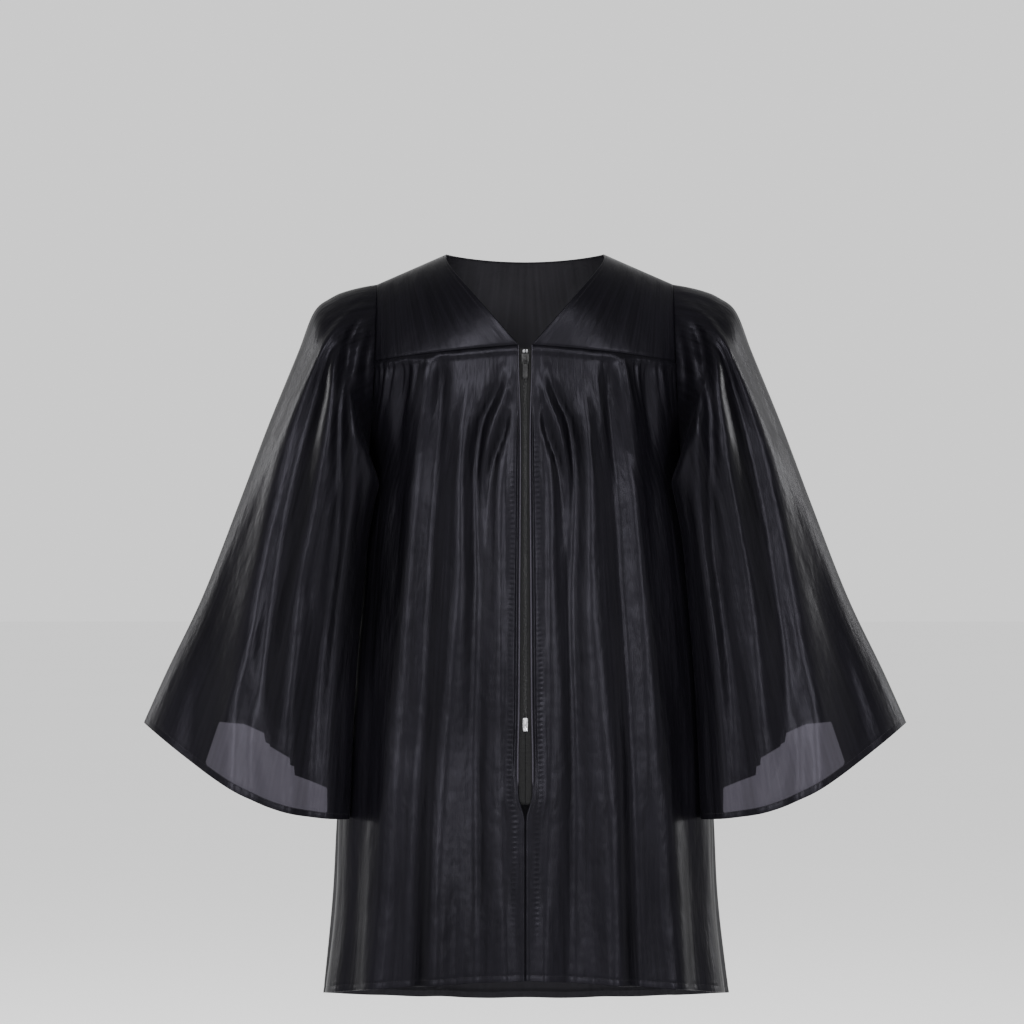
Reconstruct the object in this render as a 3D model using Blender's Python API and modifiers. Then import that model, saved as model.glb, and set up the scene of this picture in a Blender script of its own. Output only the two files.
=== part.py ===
"""Child's graduation gown, filled out as it is worn, with nobody in it.

The cloth pieces are walls lofted through sections: a front and a back yoke, two
front panels that meet at a zip, a back panel and two bell sleeves. Left and right
are the wearer's. X runs to the wearer's left, Y to the back and Z up. The origin
is the middle of the neck, level with the neck ends of the shoulder seams.
"""

import math
from collections import namedtuple

import bmesh
import bpy
from mathutils import Matrix, Vector

MM = 0.001
COLLECTION = "graduation_gown"

# Cloth and seams
WALL = 1.5 * MM
SEAM_GAP = 0.3 * MM
SHOULDER_GAP = 0.8 * MM  # wider outside, because the two walls lean together
SIDE_GAP = 0.6 * MM
SHARP_DEGREES = 40  # edges that turn more are shaded sharp
SUPERELLIPSE = 2.4  # power of the body's cross-section
ARMHOLE_POWER = 2.3  # and of a sleeve's, at the armhole
CUFF_POWER = 1.7  # and lower down, where its edges are nearly folded

# Shoulders and neck
NECK_HALF_WIDTH = 80 * MM
ARMHOLE_TOP_X = 151 * MM
ARMHOLE_TOP_Z = -31 * MM
UNDERARM_X = 158 * MM
UNDERARM_Z = -205 * MM
SHOULDER_SLOPE = -ARMHOLE_TOP_Z / (ARMHOLE_TOP_X - NECK_HALF_WIDTH)
SHOULDER_ROLL = 110 * MM  # height over which the cloth rolls from the seam to the chest
BACK_NECK_DIP = 6 * MM
NECK_BOW = 9.2 * MM  # how far the V stands out from a straight line near its top
NECK_BOW_START = 12  # a power: how soon below the shoulder it does

# Yoke seams, hems and the centre front
FRONT_YOKE_CENTRE_Z = -95 * MM
FRONT_YOKE_SIDE_Z = -111 * MM
BACK_YOKE_Z = -128 * MM
FRONT_HEM_CENTRE_Z = -732 * MM
SIDE_HEM_Z = -753 * MM
BACK_HEM_CENTRE_Z = -769 * MM
ZIP_OPENING = 6.5 * MM  # from the middle to each folded edge
ZIP_OPENING_END_Z = -545 * MM
CENTRE_SEAM_TOP_Z = -582 * MM

# Sleeves
SLEEVE_CLEARANCE = 1.6 * MM  # from the body's side to the sleeve beside it
SLEEVE_FORWARD_INNER = 60 * MM  # the sleeves hang a little to the front
SLEEVE_FORWARD_OUTER = 14 * MM
CUFF_FRONT_DROP = 24 * MM
CUFF_BACK_RISE = 26 * MM

# Zip
TAPE_WIDTH = 13 * MM
TAPE_THICKNESS = 1.0 * MM
TAPE_TOP_Z = -98 * MM
TAPE_END_Z = -556 * MM
COIL_WIDTH = 4.4 * MM
COIL_THICKNESS = 1.3 * MM
COIL_TOP_Z = -104 * MM
SLIDER_Z = -109 * MM
SLIDER_SIZE = Vector((8.4, 1.4, 11.0)) * MM
SLIDER_FLANGE_WIDTH = 1.4 * MM
BAIL_WIDTH = 2.0 * MM
BAIL_BAR = 1.2 * MM
BAIL_OPENING = Vector((0, 2.0, 3.2)) * MM
TAB_WIDTH = 5.2 * MM
TAB_THICKNESS = 1.0 * MM
TAB_LENGTH = 20 * MM
TAB_WINDOW = Vector((3.0, 0, 4.4)) * MM
STOP_TOP_Z = -469 * MM
STOP_SIZE = Vector((5.2, 2.0, 14.0)) * MM
TOP_STOP_SIZE = Vector((2.2, 1.4, 3.4)) * MM
BITE = 0.5 * MM  # how far joined metal blocks reach into each other
FLANGE_SHORTER = 1.0 * MM  # a flange than the slider's plate
TAB_PLAY = 0.35 * MM  # below the tab's bar, in the bail
BROAD_EDGE = 0.5 * MM  # rounding of the stops and the bail
PLATE_EDGE = 0.3 * MM
TAB_EDGE = 0.25 * MM
THIN_EDGE = 0.2 * MM
ZIP_ROWS = 12

# How finely each piece is divided. A crowding is a power that draws rows to the top.
FRONT_COLUMNS = 22
BACK_COLUMNS = 36
ROWS_TO_UNDERARM = 6
ROWS_TO_HEM = 14
YOKE_ROWS = 7
YOKE_COLUMNS = 10
BACK_YOKE_COLUMNS = 28
SLEEVE_COLUMNS = 36
SLEEVE_ROWS = 17
YOKE_CROWDING = 1.7
PANEL_CROWDING = 1.3  # above the underarm
SKIRT_CROWDING = 1.15  # below it
SLEEVE_CROWDING = 1.35
COLUMN_CROWDING = 6  # draws a panel's outer columns to the armhole
COLUMN_CROWDING_DROP = 45 * MM  # below the underarm, where they are even again

# How the folds calm down towards edges: a bigger number is a shorter distance
FRONT_SIDE_CALM = 5
BACK_SIDE_CALM = 7
SIDE_SET_BACK = 8  # the last eighth of a panel is set back for the side seam's gap
SLEEVE_EDGE_CALM = 12
BACK_HEM_POWER = 1.5  # how the back hem rises to the side seam
SIDE_LEAN_POWER = 1.5  # how late the folds turn from the front to the side

# Where the parts of a sleeve's length end, from 0 at the armhole to 1 at the cuff
SLEEVE_JOIN_T = 0.10  # the section leaves the armhole's shape
SLEEVE_CLEAR_T = 0.12  # the full clearance is reached
SLEEVE_FORWARD_T = 0.30  # it hangs forward
SLEEVE_HANG_T = 0.40  # it has its lower shape
SLEEVE_CALM_T = 0.08  # the folds begin

# Body sections in millimetres, from the neck to the hem
BodyLevel = namedtuple("BodyLevel", "z half_width front back")
BODY_LEVELS = (
    BodyLevel(20, 170, 86, 82),
    BodyLevel(-60, 176, 90, 88),
    BodyLevel(-110, 176, 93, 92),
    BodyLevel(-160, 169, 95, 95),
    BodyLevel(-205, 158, 96, 97),
    BodyLevel(-251, 163, 97, 99),
    BodyLevel(-312, 171, 99, 102),
    BodyLevel(-394, 180, 103, 106),
    BodyLevel(-496, 187, 108, 111),
    BodyLevel(-577, 190, 113, 116),
    BodyLevel(-658, 193, 117, 120),
    BodyLevel(-753, 204, 121, 125),
    BodyLevel(-800, 211, 123, 127),
)

# Sleeve sections in millimetres: the outer point, the height of the inner point
# beside the body, and how far the front and the back stand from the arm's middle
SleeveLevel = namedtuple("SleeveLevel", "t outer_x outer_z inner_z front back")
SLEEVE_LEVELS = (
    SleeveLevel(0.00, 151, -31, -205, 58, 58),
    SleeveLevel(0.06, 178, -36, -211, 62, 62),
    SleeveLevel(0.12, 198, -45, -218, 62, 66),
    SleeveLevel(0.18, 214, -58, -227, 60, 69),
    SleeveLevel(0.26, 230, -98, -245, 57, 68),
    SleeveLevel(0.40, 261, -174, -300, 53, 62),
    SleeveLevel(0.55, 290, -251, -367, 51, 57),
    SleeveLevel(0.75, 330, -353, -455, 51, 55),
    SleeveLevel(0.90, 366, -428, -530, 53, 55),
    SleeveLevel(1.00, 388, -477, -573, 55, 58),
)

# Folds in millimetres. A row is a height, where the fold's crest is across the
# piece, its half width and how far it stands out (or goes in, below zero). Below its
# last row a fold goes on as it is there.
Fold = namedtuple("Fold", "name rows")
FoldRow = namedtuple("FoldRow", "z x half_width rise")


def fold(name, *rows):
    """A fold from its rows, top row first."""
    return Fold(name, tuple(FoldRow(*row) for row in rows))


FRONT_FOLDS = (
    fold(
        "beside_zip",
        (-104, 27, 8, 0), (-150, 38, 13, -5), (-350, 44, 16, -6), (-516, 50, 17, -6),
        (-760, 48, 20, -7),
    ),
    fold(
        "first_ridge",
        (-104, 42, 9, 0), (-135, 52, 12, 4), (-350, 68, 18, 4), (-560, 86, 20, 5),
        (-760, 92, 24, 8),
    ),
    fold("gather_in", (-106, 60, 8, 0), (-130, 66, 9, -3), (-200, 74, 10, -2), (-300, 82, 12, 0)),
    fold(
        "second_valley",
        (-106, 78, 9, 0), (-200, 88, 14, -4), (-450, 106, 17, -4), (-760, 118, 20, -8),
    ),
    fold(
        "second_ridge",
        (-106, 96, 9, 0), (-140, 102, 12, 4), (-350, 118, 16, 3), (-600, 142, 18, 5),
        (-760, 152, 20, 8),
    ),
    fold(
        "gather_out",
        (-108, 120, 8, 0), (-130, 124, 9, -3), (-220, 130, 11, -2), (-320, 134, 12, 0),
    ),
    fold("side_valley", (-400, 150, 10, 0), (-600, 168, 14, -4), (-760, 180, 16, -6)),
)

BACK_FOLD_COUNT = 9  # flutes that fall from the back yoke, on each side of the middle
BACK_FOLD_RISE_TOP = 4.0 * MM
BACK_FOLD_RISE_HEM = 7.0 * MM
BACK_FOLD_FADE = 60 * MM  # below the yoke, over which they reach their height
BACK_FOLD_WANDER = 0.012  # how far a flute strays sideways, as a share of the half width

SLEEVE_FRONT_FOLDS = (
    fold(
        "outer_ridge",
        (-50, 164, 9, 0), (-96, 203, 13, 8), (-182, 240, 16, 7), (-312, 268, 18, 6),
        (-475, 296, 22, 7),
    ),
    fold(
        "outer_valley",
        (-100, 196, 9, 0), (-157, 213, 12, -7), (-271, 240, 14, -5), (-434, 266, 16, -5),
        (-520, 274, 18, -4),
    ),
    fold(
        "middle_ridge",
        (-100, 190, 8, 0), (-150, 196, 11, 6), (-239, 209, 14, 6), (-353, 228, 16, 6),
        (-500, 240, 20, 6),
    ),
    fold(
        "inner_valley",
        (-70, 168, 8, 0), (-120, 182, 9, -6), (-271, 189, 10, -5), (-434, 208, 14, -4),
        (-540, 216, 16, -3),
    ),
    fold(
        "inner_ridge",
        (-70, 158, 7, 0), (-130, 171, 9, 4), (-230, 172, 9, 4), (-414, 192, 10, 4),
        (-560, 200, 12, 3),
    ),
)

SLEEVE_BACK_FOLDS = (
    fold(
        "outer_ridge",
        (-50, 168, 9, 0), (-100, 208, 13, 7), (-200, 248, 16, 6), (-330, 280, 18, 6),
        (-475, 308, 22, 7),
    ),
    fold(
        "outer_valley",
        (-90, 192, 9, 0), (-160, 220, 12, -6), (-290, 248, 15, -5), (-450, 276, 17, -5),
    ),
    fold(
        "middle_ridge",
        (-90, 180, 8, 0), (-150, 200, 11, 5), (-250, 216, 14, 6), (-370, 238, 16, 5),
        (-520, 250, 20, 6),
    ),
    fold(
        "inner_valley",
        (-80, 166, 8, 0), (-130, 182, 9, -5), (-280, 194, 11, -5), (-440, 212, 14, -4),
    ),
)

FOLD_FULLNESS = 1.6  # how quickly a fold falls away from its crest, and where it ends

# Materials: colour, roughness, metallic
Finish = namedtuple("Finish", "colour roughness metallic")
SATIN = Finish((0.012, 0.011, 0.013, 1.0), 0.36, 0.0)
TAPE = Finish((0.010, 0.010, 0.011, 1.0), 0.8, 0.0)
COIL = Finish((0.015, 0.015, 0.016, 1.0), 0.45, 0.0)
LACQUER = Finish((0.02, 0.02, 0.022, 1.0), 0.3, 0.6)
STEEL = Finish((0.62, 0.62, 0.64, 1.0), 0.25, 1.0)


def blend(a, b, share):
    """The value that lies the given share of the way from a to b."""
    return a + (b - a) * share


def ease(share):
    """A smooth step from 0 to 1."""
    share = min(max(share, 0.0), 1.0)
    return share * share * (3 - 2 * share)


def read(table, key, column, where):
    """A column of a table at a place between its rows, on a smooth curve."""
    keys = [getattr(row, key) for row in table]
    values = [getattr(row, column) for row in table]
    if keys[0] > keys[-1]:
        keys.reverse()
        values.reverse()
    if where <= keys[0]:
        return values[0]
    if where >= keys[-1]:
        return values[-1]
    i = next(n for n in range(len(keys) - 1) if where <= keys[n + 1])
    slopes = [(values[n + 1] - values[n]) / (keys[n + 1] - keys[n]) for n in range(len(keys) - 1)]
    start = slopes[0] if i == 0 else (slopes[i - 1] + slopes[i]) / 2
    end = slopes[-1] if i == len(slopes) - 1 else (slopes[i] + slopes[i + 1]) / 2
    width = keys[i + 1] - keys[i]
    s = (where - keys[i]) / width
    return (
        (2 * s**3 - 3 * s**2 + 1) * values[i]
        + (s**3 - 2 * s**2 + s) * width * start
        + (3 * s**2 - 2 * s**3) * values[i + 1]
        + (s**3 - s**2) * width * end
    )


def rise_of(folds, x, z):
    """How far the folds push the cloth out at a place, in metres."""
    total = 0.0
    x, z = abs(x) / MM, z / MM
    for one in folds:
        if z > one.rows[0].z:
            continue
        crest = read(one.rows, "z", "x", z)
        half = read(one.rows, "z", "half_width", z)
        away = abs(x - crest) / half
        if away < FOLD_FULLNESS:
            crown = math.exp(-FOLD_FULLNESS * away * away)
            total += read(one.rows, "z", "rise", z) * crown
    return total * MM


# The body's form

def body_size(column, z):
    """A size of the body's section at a height, in metres."""
    return read(BODY_LEVELS, "z", column, z / MM) * MM


def shoulder_height(x):
    """The height of the shoulder line, which goes on as a soft arch over the neck."""
    x = abs(x)
    if x >= NECK_HALF_WIDTH:
        return -SHOULDER_SLOPE * (x - NECK_HALF_WIDTH)
    return SHOULDER_SLOPE * (NECK_HALF_WIDTH - x * x / NECK_HALF_WIDTH) / 2


def roll(x, z):
    """The share of the full depth that the cloth has reached below the shoulder line."""
    share = min(max((shoulder_height(x) - z) / SHOULDER_ROLL, 0.0), 1.0)
    return math.sqrt(1 - (1 - share) ** 2)


def body_point(angle, z, face):
    """A point of the body's form: the angle is 0 at the middle and pi/2 at the side."""
    power = 2 / SUPERELLIPSE
    x = body_size("half_width", z) * math.sin(angle) ** power
    depth = body_size("front" if face < 0 else "back", z) * max(math.cos(angle), 0.0) ** power
    return Vector((x, face * depth * roll(x, z), z))


def angle_at(x, z):
    """The angle at which the body's form has this distance from the middle."""
    share = min(abs(x) / body_size("half_width", z), 1.0)
    return math.asin(share ** (SUPERELLIPSE / 2))


def armhole_x(z):
    """The distance of the armhole's edge from the middle."""
    share = (z - ARMHOLE_TOP_Z) / (UNDERARM_Z - ARMHOLE_TOP_Z)
    return blend(ARMHOLE_TOP_X, UNDERARM_X, min(max(share, 0.0), 1.0) ** 2)


def side_angle(z):
    """The angle of the panel's side edge: the armhole, and the side seam below it."""
    if z <= UNDERARM_Z:
        return math.pi / 2
    return angle_at(armhole_x(z), z)


def column_angle(start, across, z):
    """The angle of a panel's column: even columns that crowd only at the armhole."""
    height = FRONT_YOKE_SIDE_Z - UNDERARM_Z + COLUMN_CROWDING_DROP
    spread = ease((FRONT_YOKE_SIDE_Z - z) / height)
    top = side_angle(FRONT_YOKE_SIDE_Z)
    even = blend(top, math.pi / 2, spread)
    return blend(start, even, across) + (side_angle(z) - even) * across**COLUMN_CROWDING


def front_opening(z):
    """The distance of a front panel's centre edge from the middle."""
    share = ease((z - CENTRE_SEAM_TOP_Z) / (ZIP_OPENING_END_Z - CENTRE_SEAM_TOP_Z))
    return blend(SEAM_GAP / 2, ZIP_OPENING, share)


def front_yoke_z(across):
    """The height of the front yoke seam, from the middle (0) to the armhole (1)."""
    return blend(FRONT_YOKE_CENTRE_Z, FRONT_YOKE_SIDE_Z, across)


def front_hem_z(across):
    """The height of the front hem, from the middle (0) to the side seam (1)."""
    return blend(FRONT_HEM_CENTRE_Z, SIDE_HEM_Z, across)


def back_hem_z(across):
    """The height of the back hem, from the middle (0) to the side seam (1)."""
    return blend(BACK_HEM_CENTRE_Z, SIDE_HEM_Z, across**BACK_HEM_POWER)


# Meshes and objects

def finish_material(name, finish):
    """A plain material with the finish's colour, roughness and metallic value."""
    material = bpy.data.materials.new(name)
    material.use_nodes = True
    shader = material.node_tree.nodes["Principled BSDF"]
    shader.inputs["Base Color"].default_value = finish.colour
    shader.inputs["Roughness"].default_value = finish.roughness
    shader.inputs["Metallic"].default_value = finish.metallic
    return material


def add_object(name, mesh, finish):
    """An object in the gown's collection with a material of its own."""
    mesh.materials.append(finish_material(name + "_finish", finish))
    item = bpy.data.objects.new(name, mesh)
    bpy.data.collections[COLLECTION].objects.link(item)
    return item


def mesh_from(bm, name):
    """A mesh from a bmesh, with outward faces, shaded smooth."""
    mesh = bpy.data.meshes.new(name)
    bm.to_mesh(mesh)
    bm.free()
    mesh.shade_smooth()
    mesh.set_sharp_from_angle(angle=math.radians(SHARP_DEGREES))
    return mesh


def cloth(name, rows, outward, ring=False, wall=WALL, finish=SATIN):
    """A cloth piece: an open surface through rows of points, with a wall inside it.

    outward gives, for a point, a direction that leads away from the hollow.
    """
    bm = bmesh.new()
    grid = [[bm.verts.new(point) for point in row] for row in rows]
    columns = len(rows[0])
    for upper, lower in zip(grid, grid[1:]):
        for i in range(columns if ring else columns - 1):
            j = (i + 1) % columns
            bm.faces.new((upper[i], lower[i], lower[j], upper[j]))
    bm.normal_update()
    facing = sum(face.normal.dot(outward(face.calc_center_median())) for face in bm.faces)
    if facing < 0:
        bmesh.ops.reverse_faces(bm, faces=bm.faces[:])
    item = add_object(name, mesh_from(bm, name), finish)
    solid = item.modifiers.new("wall", "SOLIDIFY")
    solid.thickness = wall
    solid.offset = -1
    return item


def block(name, centre, size, finish, bevel):
    """A box with rounded edges, its origin at its centre."""
    bm = bmesh.new()
    bmesh.ops.create_cube(bm, size=1.0)
    bmesh.ops.scale(bm, vec=size, verts=bm.verts)
    item = add_object(name, mesh_from(bm, name), finish)
    item.location = centre
    rounding = item.modifiers.new("rounding", "BEVEL")
    rounding.width = bevel
    rounding.segments = 2
    return item


def join(item, other):
    """Join another object's solid to the item and remove the other."""
    union = item.modifiers.new("join", "BOOLEAN")
    union.operation = "UNION"
    union.object = other
    apply_modifiers(item)
    bpy.data.objects.remove(other)


def cut(item, other):
    """Cut another object's solid out of the item and remove the other."""
    difference = item.modifiers.new("cut", "BOOLEAN")
    difference.operation = "DIFFERENCE"
    difference.object = other
    apply_modifiers(item)
    bpy.data.objects.remove(other)


def apply_modifiers(item):
    """Replace the item's mesh by its evaluated one."""
    graph = bpy.context.evaluated_depsgraph_get()
    mesh = bpy.data.meshes.new_from_object(item.evaluated_get(graph))
    item.modifiers.clear()
    item.data = mesh


def from_axis(point):
    """Away from the body's upright axis."""
    return Vector((point.x, point.y, 0))


# Yokes

def surface_point(x, z, face):
    """The point of the body's form at this distance from the middle and height."""
    return body_point(angle_at(x, z), z, face)


def neck_bow(down):
    """How far the V neck's edge stands out from a straight line, at a share of its height."""
    return NECK_BOW * (1 - down) * (1 - (1 - down) ** NECK_BOW_START)


def front_yoke_rows(side):
    """Rows of a front yoke from the shoulder seam to the yoke seam."""
    rows = []
    for i in range(YOKE_ROWS + 1):
        down = (i / YOKE_ROWS) ** YOKE_CROWDING
        row = []
        for j in range(YOKE_COLUMNS + 1):
            across = j / YOKE_COLUMNS
            foot_z = front_yoke_z(across)
            foot_angle = blend(angle_at(ZIP_OPENING, foot_z), side_angle(foot_z), across)
            foot = body_point(foot_angle, foot_z, -1)
            top_x = blend(NECK_HALF_WIDTH, ARMHOLE_TOP_X, across)
            top_z = shoulder_height(top_x)
            x = blend(top_x, foot.x, down) + neck_bow(down) * (1 - across) ** 3
            z = blend(top_z, foot.z + SEAM_GAP, down)
            if j == YOKE_COLUMNS:
                x = armhole_x(z)
            point = surface_point(x, z, -1)
            point.y -= SHOULDER_GAP / 2 * (1 - down)
            row.append(Vector((side * point.x, point.y, point.z)))
        rows.append(row)
    return rows


def back_top(across):
    """The back yoke's top edge: shoulder seams and, between them, the neck edge."""
    x = ARMHOLE_TOP_X * abs(across)
    if x >= NECK_HALF_WIDTH:
        return x, shoulder_height(x)
    return x, -BACK_NECK_DIP * (1 - (x / NECK_HALF_WIDTH) ** 2)


def back_yoke_rows():
    """Rows of the back yoke from the neck and shoulders to the yoke seam."""
    rows = []
    for i in range(YOKE_ROWS + 1):
        down = (i / YOKE_ROWS) ** YOKE_CROWDING
        row = []
        for j in range(BACK_YOKE_COLUMNS + 1):
            across = 2 * j / BACK_YOKE_COLUMNS - 1
            side = math.copysign(1, across)
            foot_angle = side_angle(BACK_YOKE_Z) * abs(across)
            foot = body_point(foot_angle, BACK_YOKE_Z, 1)
            top_x, top_z = back_top(across)
            x = blend(top_x, foot.x, down)
            z = blend(top_z, foot.z + SEAM_GAP, down)
            if abs(across) == 1:
                x = armhole_x(z)
            point = surface_point(x, z, 1)
            point.y += SHOULDER_GAP / 2 * (1 - down)
            row.append(Vector((side * point.x, point.y, point.z)))
        rows.append(row)
    return rows


# Panels

def panel_height(top, hem, row):
    """The height of a panel's row: the rows are closer together near the yoke."""
    if row <= ROWS_TO_UNDERARM:
        return blend(top, UNDERARM_Z, (row / ROWS_TO_UNDERARM) ** PANEL_CROWDING)
    share = (row - ROWS_TO_UNDERARM) / ROWS_TO_HEM
    return blend(UNDERARM_Z, hem, share**SKIRT_CROWDING)


def push_out(point, rise, angle, face):
    """Move a point of the body out along the section, less near the side."""
    lean = Vector((math.sin(angle) ** SIDE_LEAN_POWER, face * math.cos(angle), 0)).normalized()
    return point + lean * rise


def side_share(across):
    """A smooth step from 0 to 1 over the last part of a panel before the side seam."""
    return ease(1 - (1 - across) * SIDE_SET_BACK)


def front_panel_rows(side):
    """Rows of a front panel from the yoke seam to the hem."""
    rows = []
    for i in range(ROWS_TO_UNDERARM + ROWS_TO_HEM + 1):
        row = []
        for j in range(FRONT_COLUMNS + 1):
            across = j / FRONT_COLUMNS
            z = panel_height(front_yoke_z(across), front_hem_z(across), i)
            angle = column_angle(angle_at(front_opening(z), z), across, z)
            point = body_point(angle, z, -1)
            hold = ease((1 - across) * FRONT_SIDE_CALM)
            point = push_out(point, rise_of(FRONT_FOLDS, point.x, z) * hold, angle, -1)
            point.y -= SIDE_GAP / 2 * side_share(across)
            row.append(Vector((side * point.x, point.y, point.z)))
        rows.append(row)
    return rows


def back_rise(across, z):
    """The flutes of the back panel, which fade in below the yoke and widen downwards."""
    fade = ease((BACK_YOKE_Z - z) / BACK_FOLD_FADE)
    share = (BACK_YOKE_Z - z) / (BACK_YOKE_Z - BACK_HEM_CENTRE_Z)
    height = blend(BACK_FOLD_RISE_TOP, BACK_FOLD_RISE_HEM, share)
    place = abs(across) + BACK_FOLD_WANDER * math.sin(9 * share + 4 * abs(across))
    wave = math.cos(math.pi * BACK_FOLD_COUNT * place)
    uneven = 0.75 + 0.25 * math.sin(7 * across + 2.1) + 0.12 * math.sin(17 * across)
    hold = ease((1 - abs(across)) * BACK_SIDE_CALM)
    return height * wave * uneven * hold * fade


def back_panel_rows():
    """Rows of the back panel from the yoke seam to the hem."""
    rows = []
    for i in range(ROWS_TO_UNDERARM + ROWS_TO_HEM + 1):
        row = []
        for j in range(BACK_COLUMNS + 1):
            across = 2 * j / BACK_COLUMNS - 1
            side = math.copysign(1, across)
            z = panel_height(BACK_YOKE_Z, back_hem_z(abs(across)), i)
            angle = column_angle(0.0, abs(across), z)
            point = body_point(angle, z, 1)
            point = push_out(point, back_rise(across, z), angle, 1)
            point.y += SIDE_GAP / 2 * side_share(abs(across))
            row.append(Vector((side * point.x, point.y, point.z)))
        rows.append(row)
    return rows


# Sleeves

def sleeve_size(column, t):
    """A size of the sleeve's section, in metres."""
    return read(SLEEVE_LEVELS, "t", column, t) * MM


def armhole_ring(turn):
    """A point of the armhole: the turn is 0 at the top and 0.25 at the front."""
    angle = 2 * math.pi * turn
    middle = (ARMHOLE_TOP_Z + UNDERARM_Z) / 2
    z = middle + (ARMHOLE_TOP_Z - UNDERARM_Z) / 2 * math.cos(angle)
    face = -1 if turn <= 0.5 else 1
    point = body_point(side_angle(z), z, face)
    return Vector((armhole_x(z) + SEAM_GAP, point.y, z))


def body_side(y, z):
    """How far the body's form reaches to the side at this depth and height."""
    share = abs(y) / body_size("front" if y < 0 else "back", z)
    return body_size("half_width", z) * (1 - share**SUPERELLIPSE) ** (1 / SUPERELLIPSE)


def bulge(t, angle):
    """The share of a sleeve's depth at an angle of its section."""
    power = blend(ARMHOLE_POWER, CUFF_POWER, ease(t / SLEEVE_HANG_T))
    return abs(math.sin(angle)) ** (2 / power)


def sleeve_inner_x(t, outer, inner_y):
    """How close to the middle a sleeve's section may reach, just clear of the body's side."""
    clearance = SEAM_GAP + SLEEVE_CLEARANCE * ease(t / SLEEVE_CLEAR_T)
    inner_z = sleeve_size("inner_z", t)
    nearest = body_side(inner_y, inner_z) + clearance
    for column, face in (("front", -1), ("back", 1)):
        for degrees in range(7, 84, 7):
            angle = math.radians(degrees)
            across = (1 - math.cos(angle)) / 2
            y = blend(inner_y, outer.y, across)
            y += face * sleeve_size(column, t) * bulge(t, angle)
            z = min(blend(inner_z, outer.z, across), UNDERARM_Z)
            if abs(y) < body_size(column, z):
                needed = (body_side(y, z) + clearance - outer.x * across) / (1 - across)
                nearest = max(nearest, needed)
    return nearest


def sleeve_ends(t):
    """The outer and the inner point of a sleeve's section."""
    forward = ease(t / SLEEVE_FORWARD_T)
    outer = Vector((
        sleeve_size("outer_x", t),
        -SLEEVE_FORWARD_OUTER * forward,
        sleeve_size("outer_z", t),
    ))
    inner_y = -SLEEVE_FORWARD_INNER * forward
    return outer, Vector((sleeve_inner_x(t, outer, inner_y), inner_y, sleeve_size("inner_z", t)))


def sleeve_section(outer, inner, t, turn):
    """A point of the sleeve's smooth section: outer at turn 0, front at 0.25."""
    angle = 2 * math.pi * turn
    face = -1 if turn <= 0.5 else 1
    depth = sleeve_size("front" if face < 0 else "back", t)
    point = outer.lerp(inner, (1 - math.cos(angle)) / 2)
    point.y += face * depth * bulge(t, angle)
    return point


def cuff_change(across, face):
    """How far the cuff's hem hangs below (or rises above) its straight line."""
    if face < 0:
        return -CUFF_FRONT_DROP * math.sin(math.pi * across**1.1)
    return CUFF_BACK_RISE * math.sin(math.pi * across**1.4) ** 2


def sleeve_point(ends, t, turn):
    """A point of the sleeve, with its folds, before it is placed on its side."""
    face = -1 if turn <= 0.5 else 1
    across = (1 - math.cos(2 * math.pi * turn)) / 2
    point = sleeve_section(*ends, t, turn)
    if t < SLEEVE_JOIN_T:
        point = armhole_ring(turn).lerp(point, ease(t / SLEEVE_JOIN_T))
    point.z += cuff_change(across, face) * t**3
    folds = SLEEVE_FRONT_FOLDS if face < 0 else SLEEVE_BACK_FOLDS
    hold = ease(t / SLEEVE_CALM_T)
    hold *= ease(across * SLEEVE_EDGE_CALM) * ease((1 - across) * SLEEVE_EDGE_CALM)
    point.y += face * rise_of(folds, point.x, point.z) * hold
    return point


def sleeve_rows(side):
    """Rings of a sleeve from the armhole to the cuff."""
    rows = []
    for i in range(SLEEVE_ROWS + 1):
        t = (i / SLEEVE_ROWS) ** SLEEVE_CROWDING
        ends = sleeve_ends(t)
        row = []
        for j in range(SLEEVE_COLUMNS):
            point = sleeve_point(ends, t, j / SLEEVE_COLUMNS)
            row.append(Vector((side * point.x, point.y, point.z)))
        rows.append(row)
    return rows


def from_sleeve_axis(side):
    """Away from the line that runs down the middle of a sleeve."""
    ends = []
    for level in (SLEEVE_LEVELS[0], SLEEVE_LEVELS[-1]):
        x = (level.outer_x + UNDERARM_X / MM) / 2 * MM
        ends.append(Vector((side * x, 0, (level.outer_z + level.inner_z) / 2 * MM)))
    top, low = ends
    along = (low - top).normalized()

    def outward(point):
        away = point - top
        return away - along * away.dot(along)

    return outward


# Zip

def front_face_y(z):
    """Where the front panels' outer face is at the middle."""
    return body_point(0.0, z, -1).y


def strip_rows(x_values, top, end, inset, count):
    """Rows of a strip that follows the centre front, behind its outer face."""
    rows = []
    for i in range(count + 1):
        z = blend(top, end, i / count)
        rows.append([Vector((x, front_face_y(z) + inset, z)) for x in x_values])
    return rows


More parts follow.
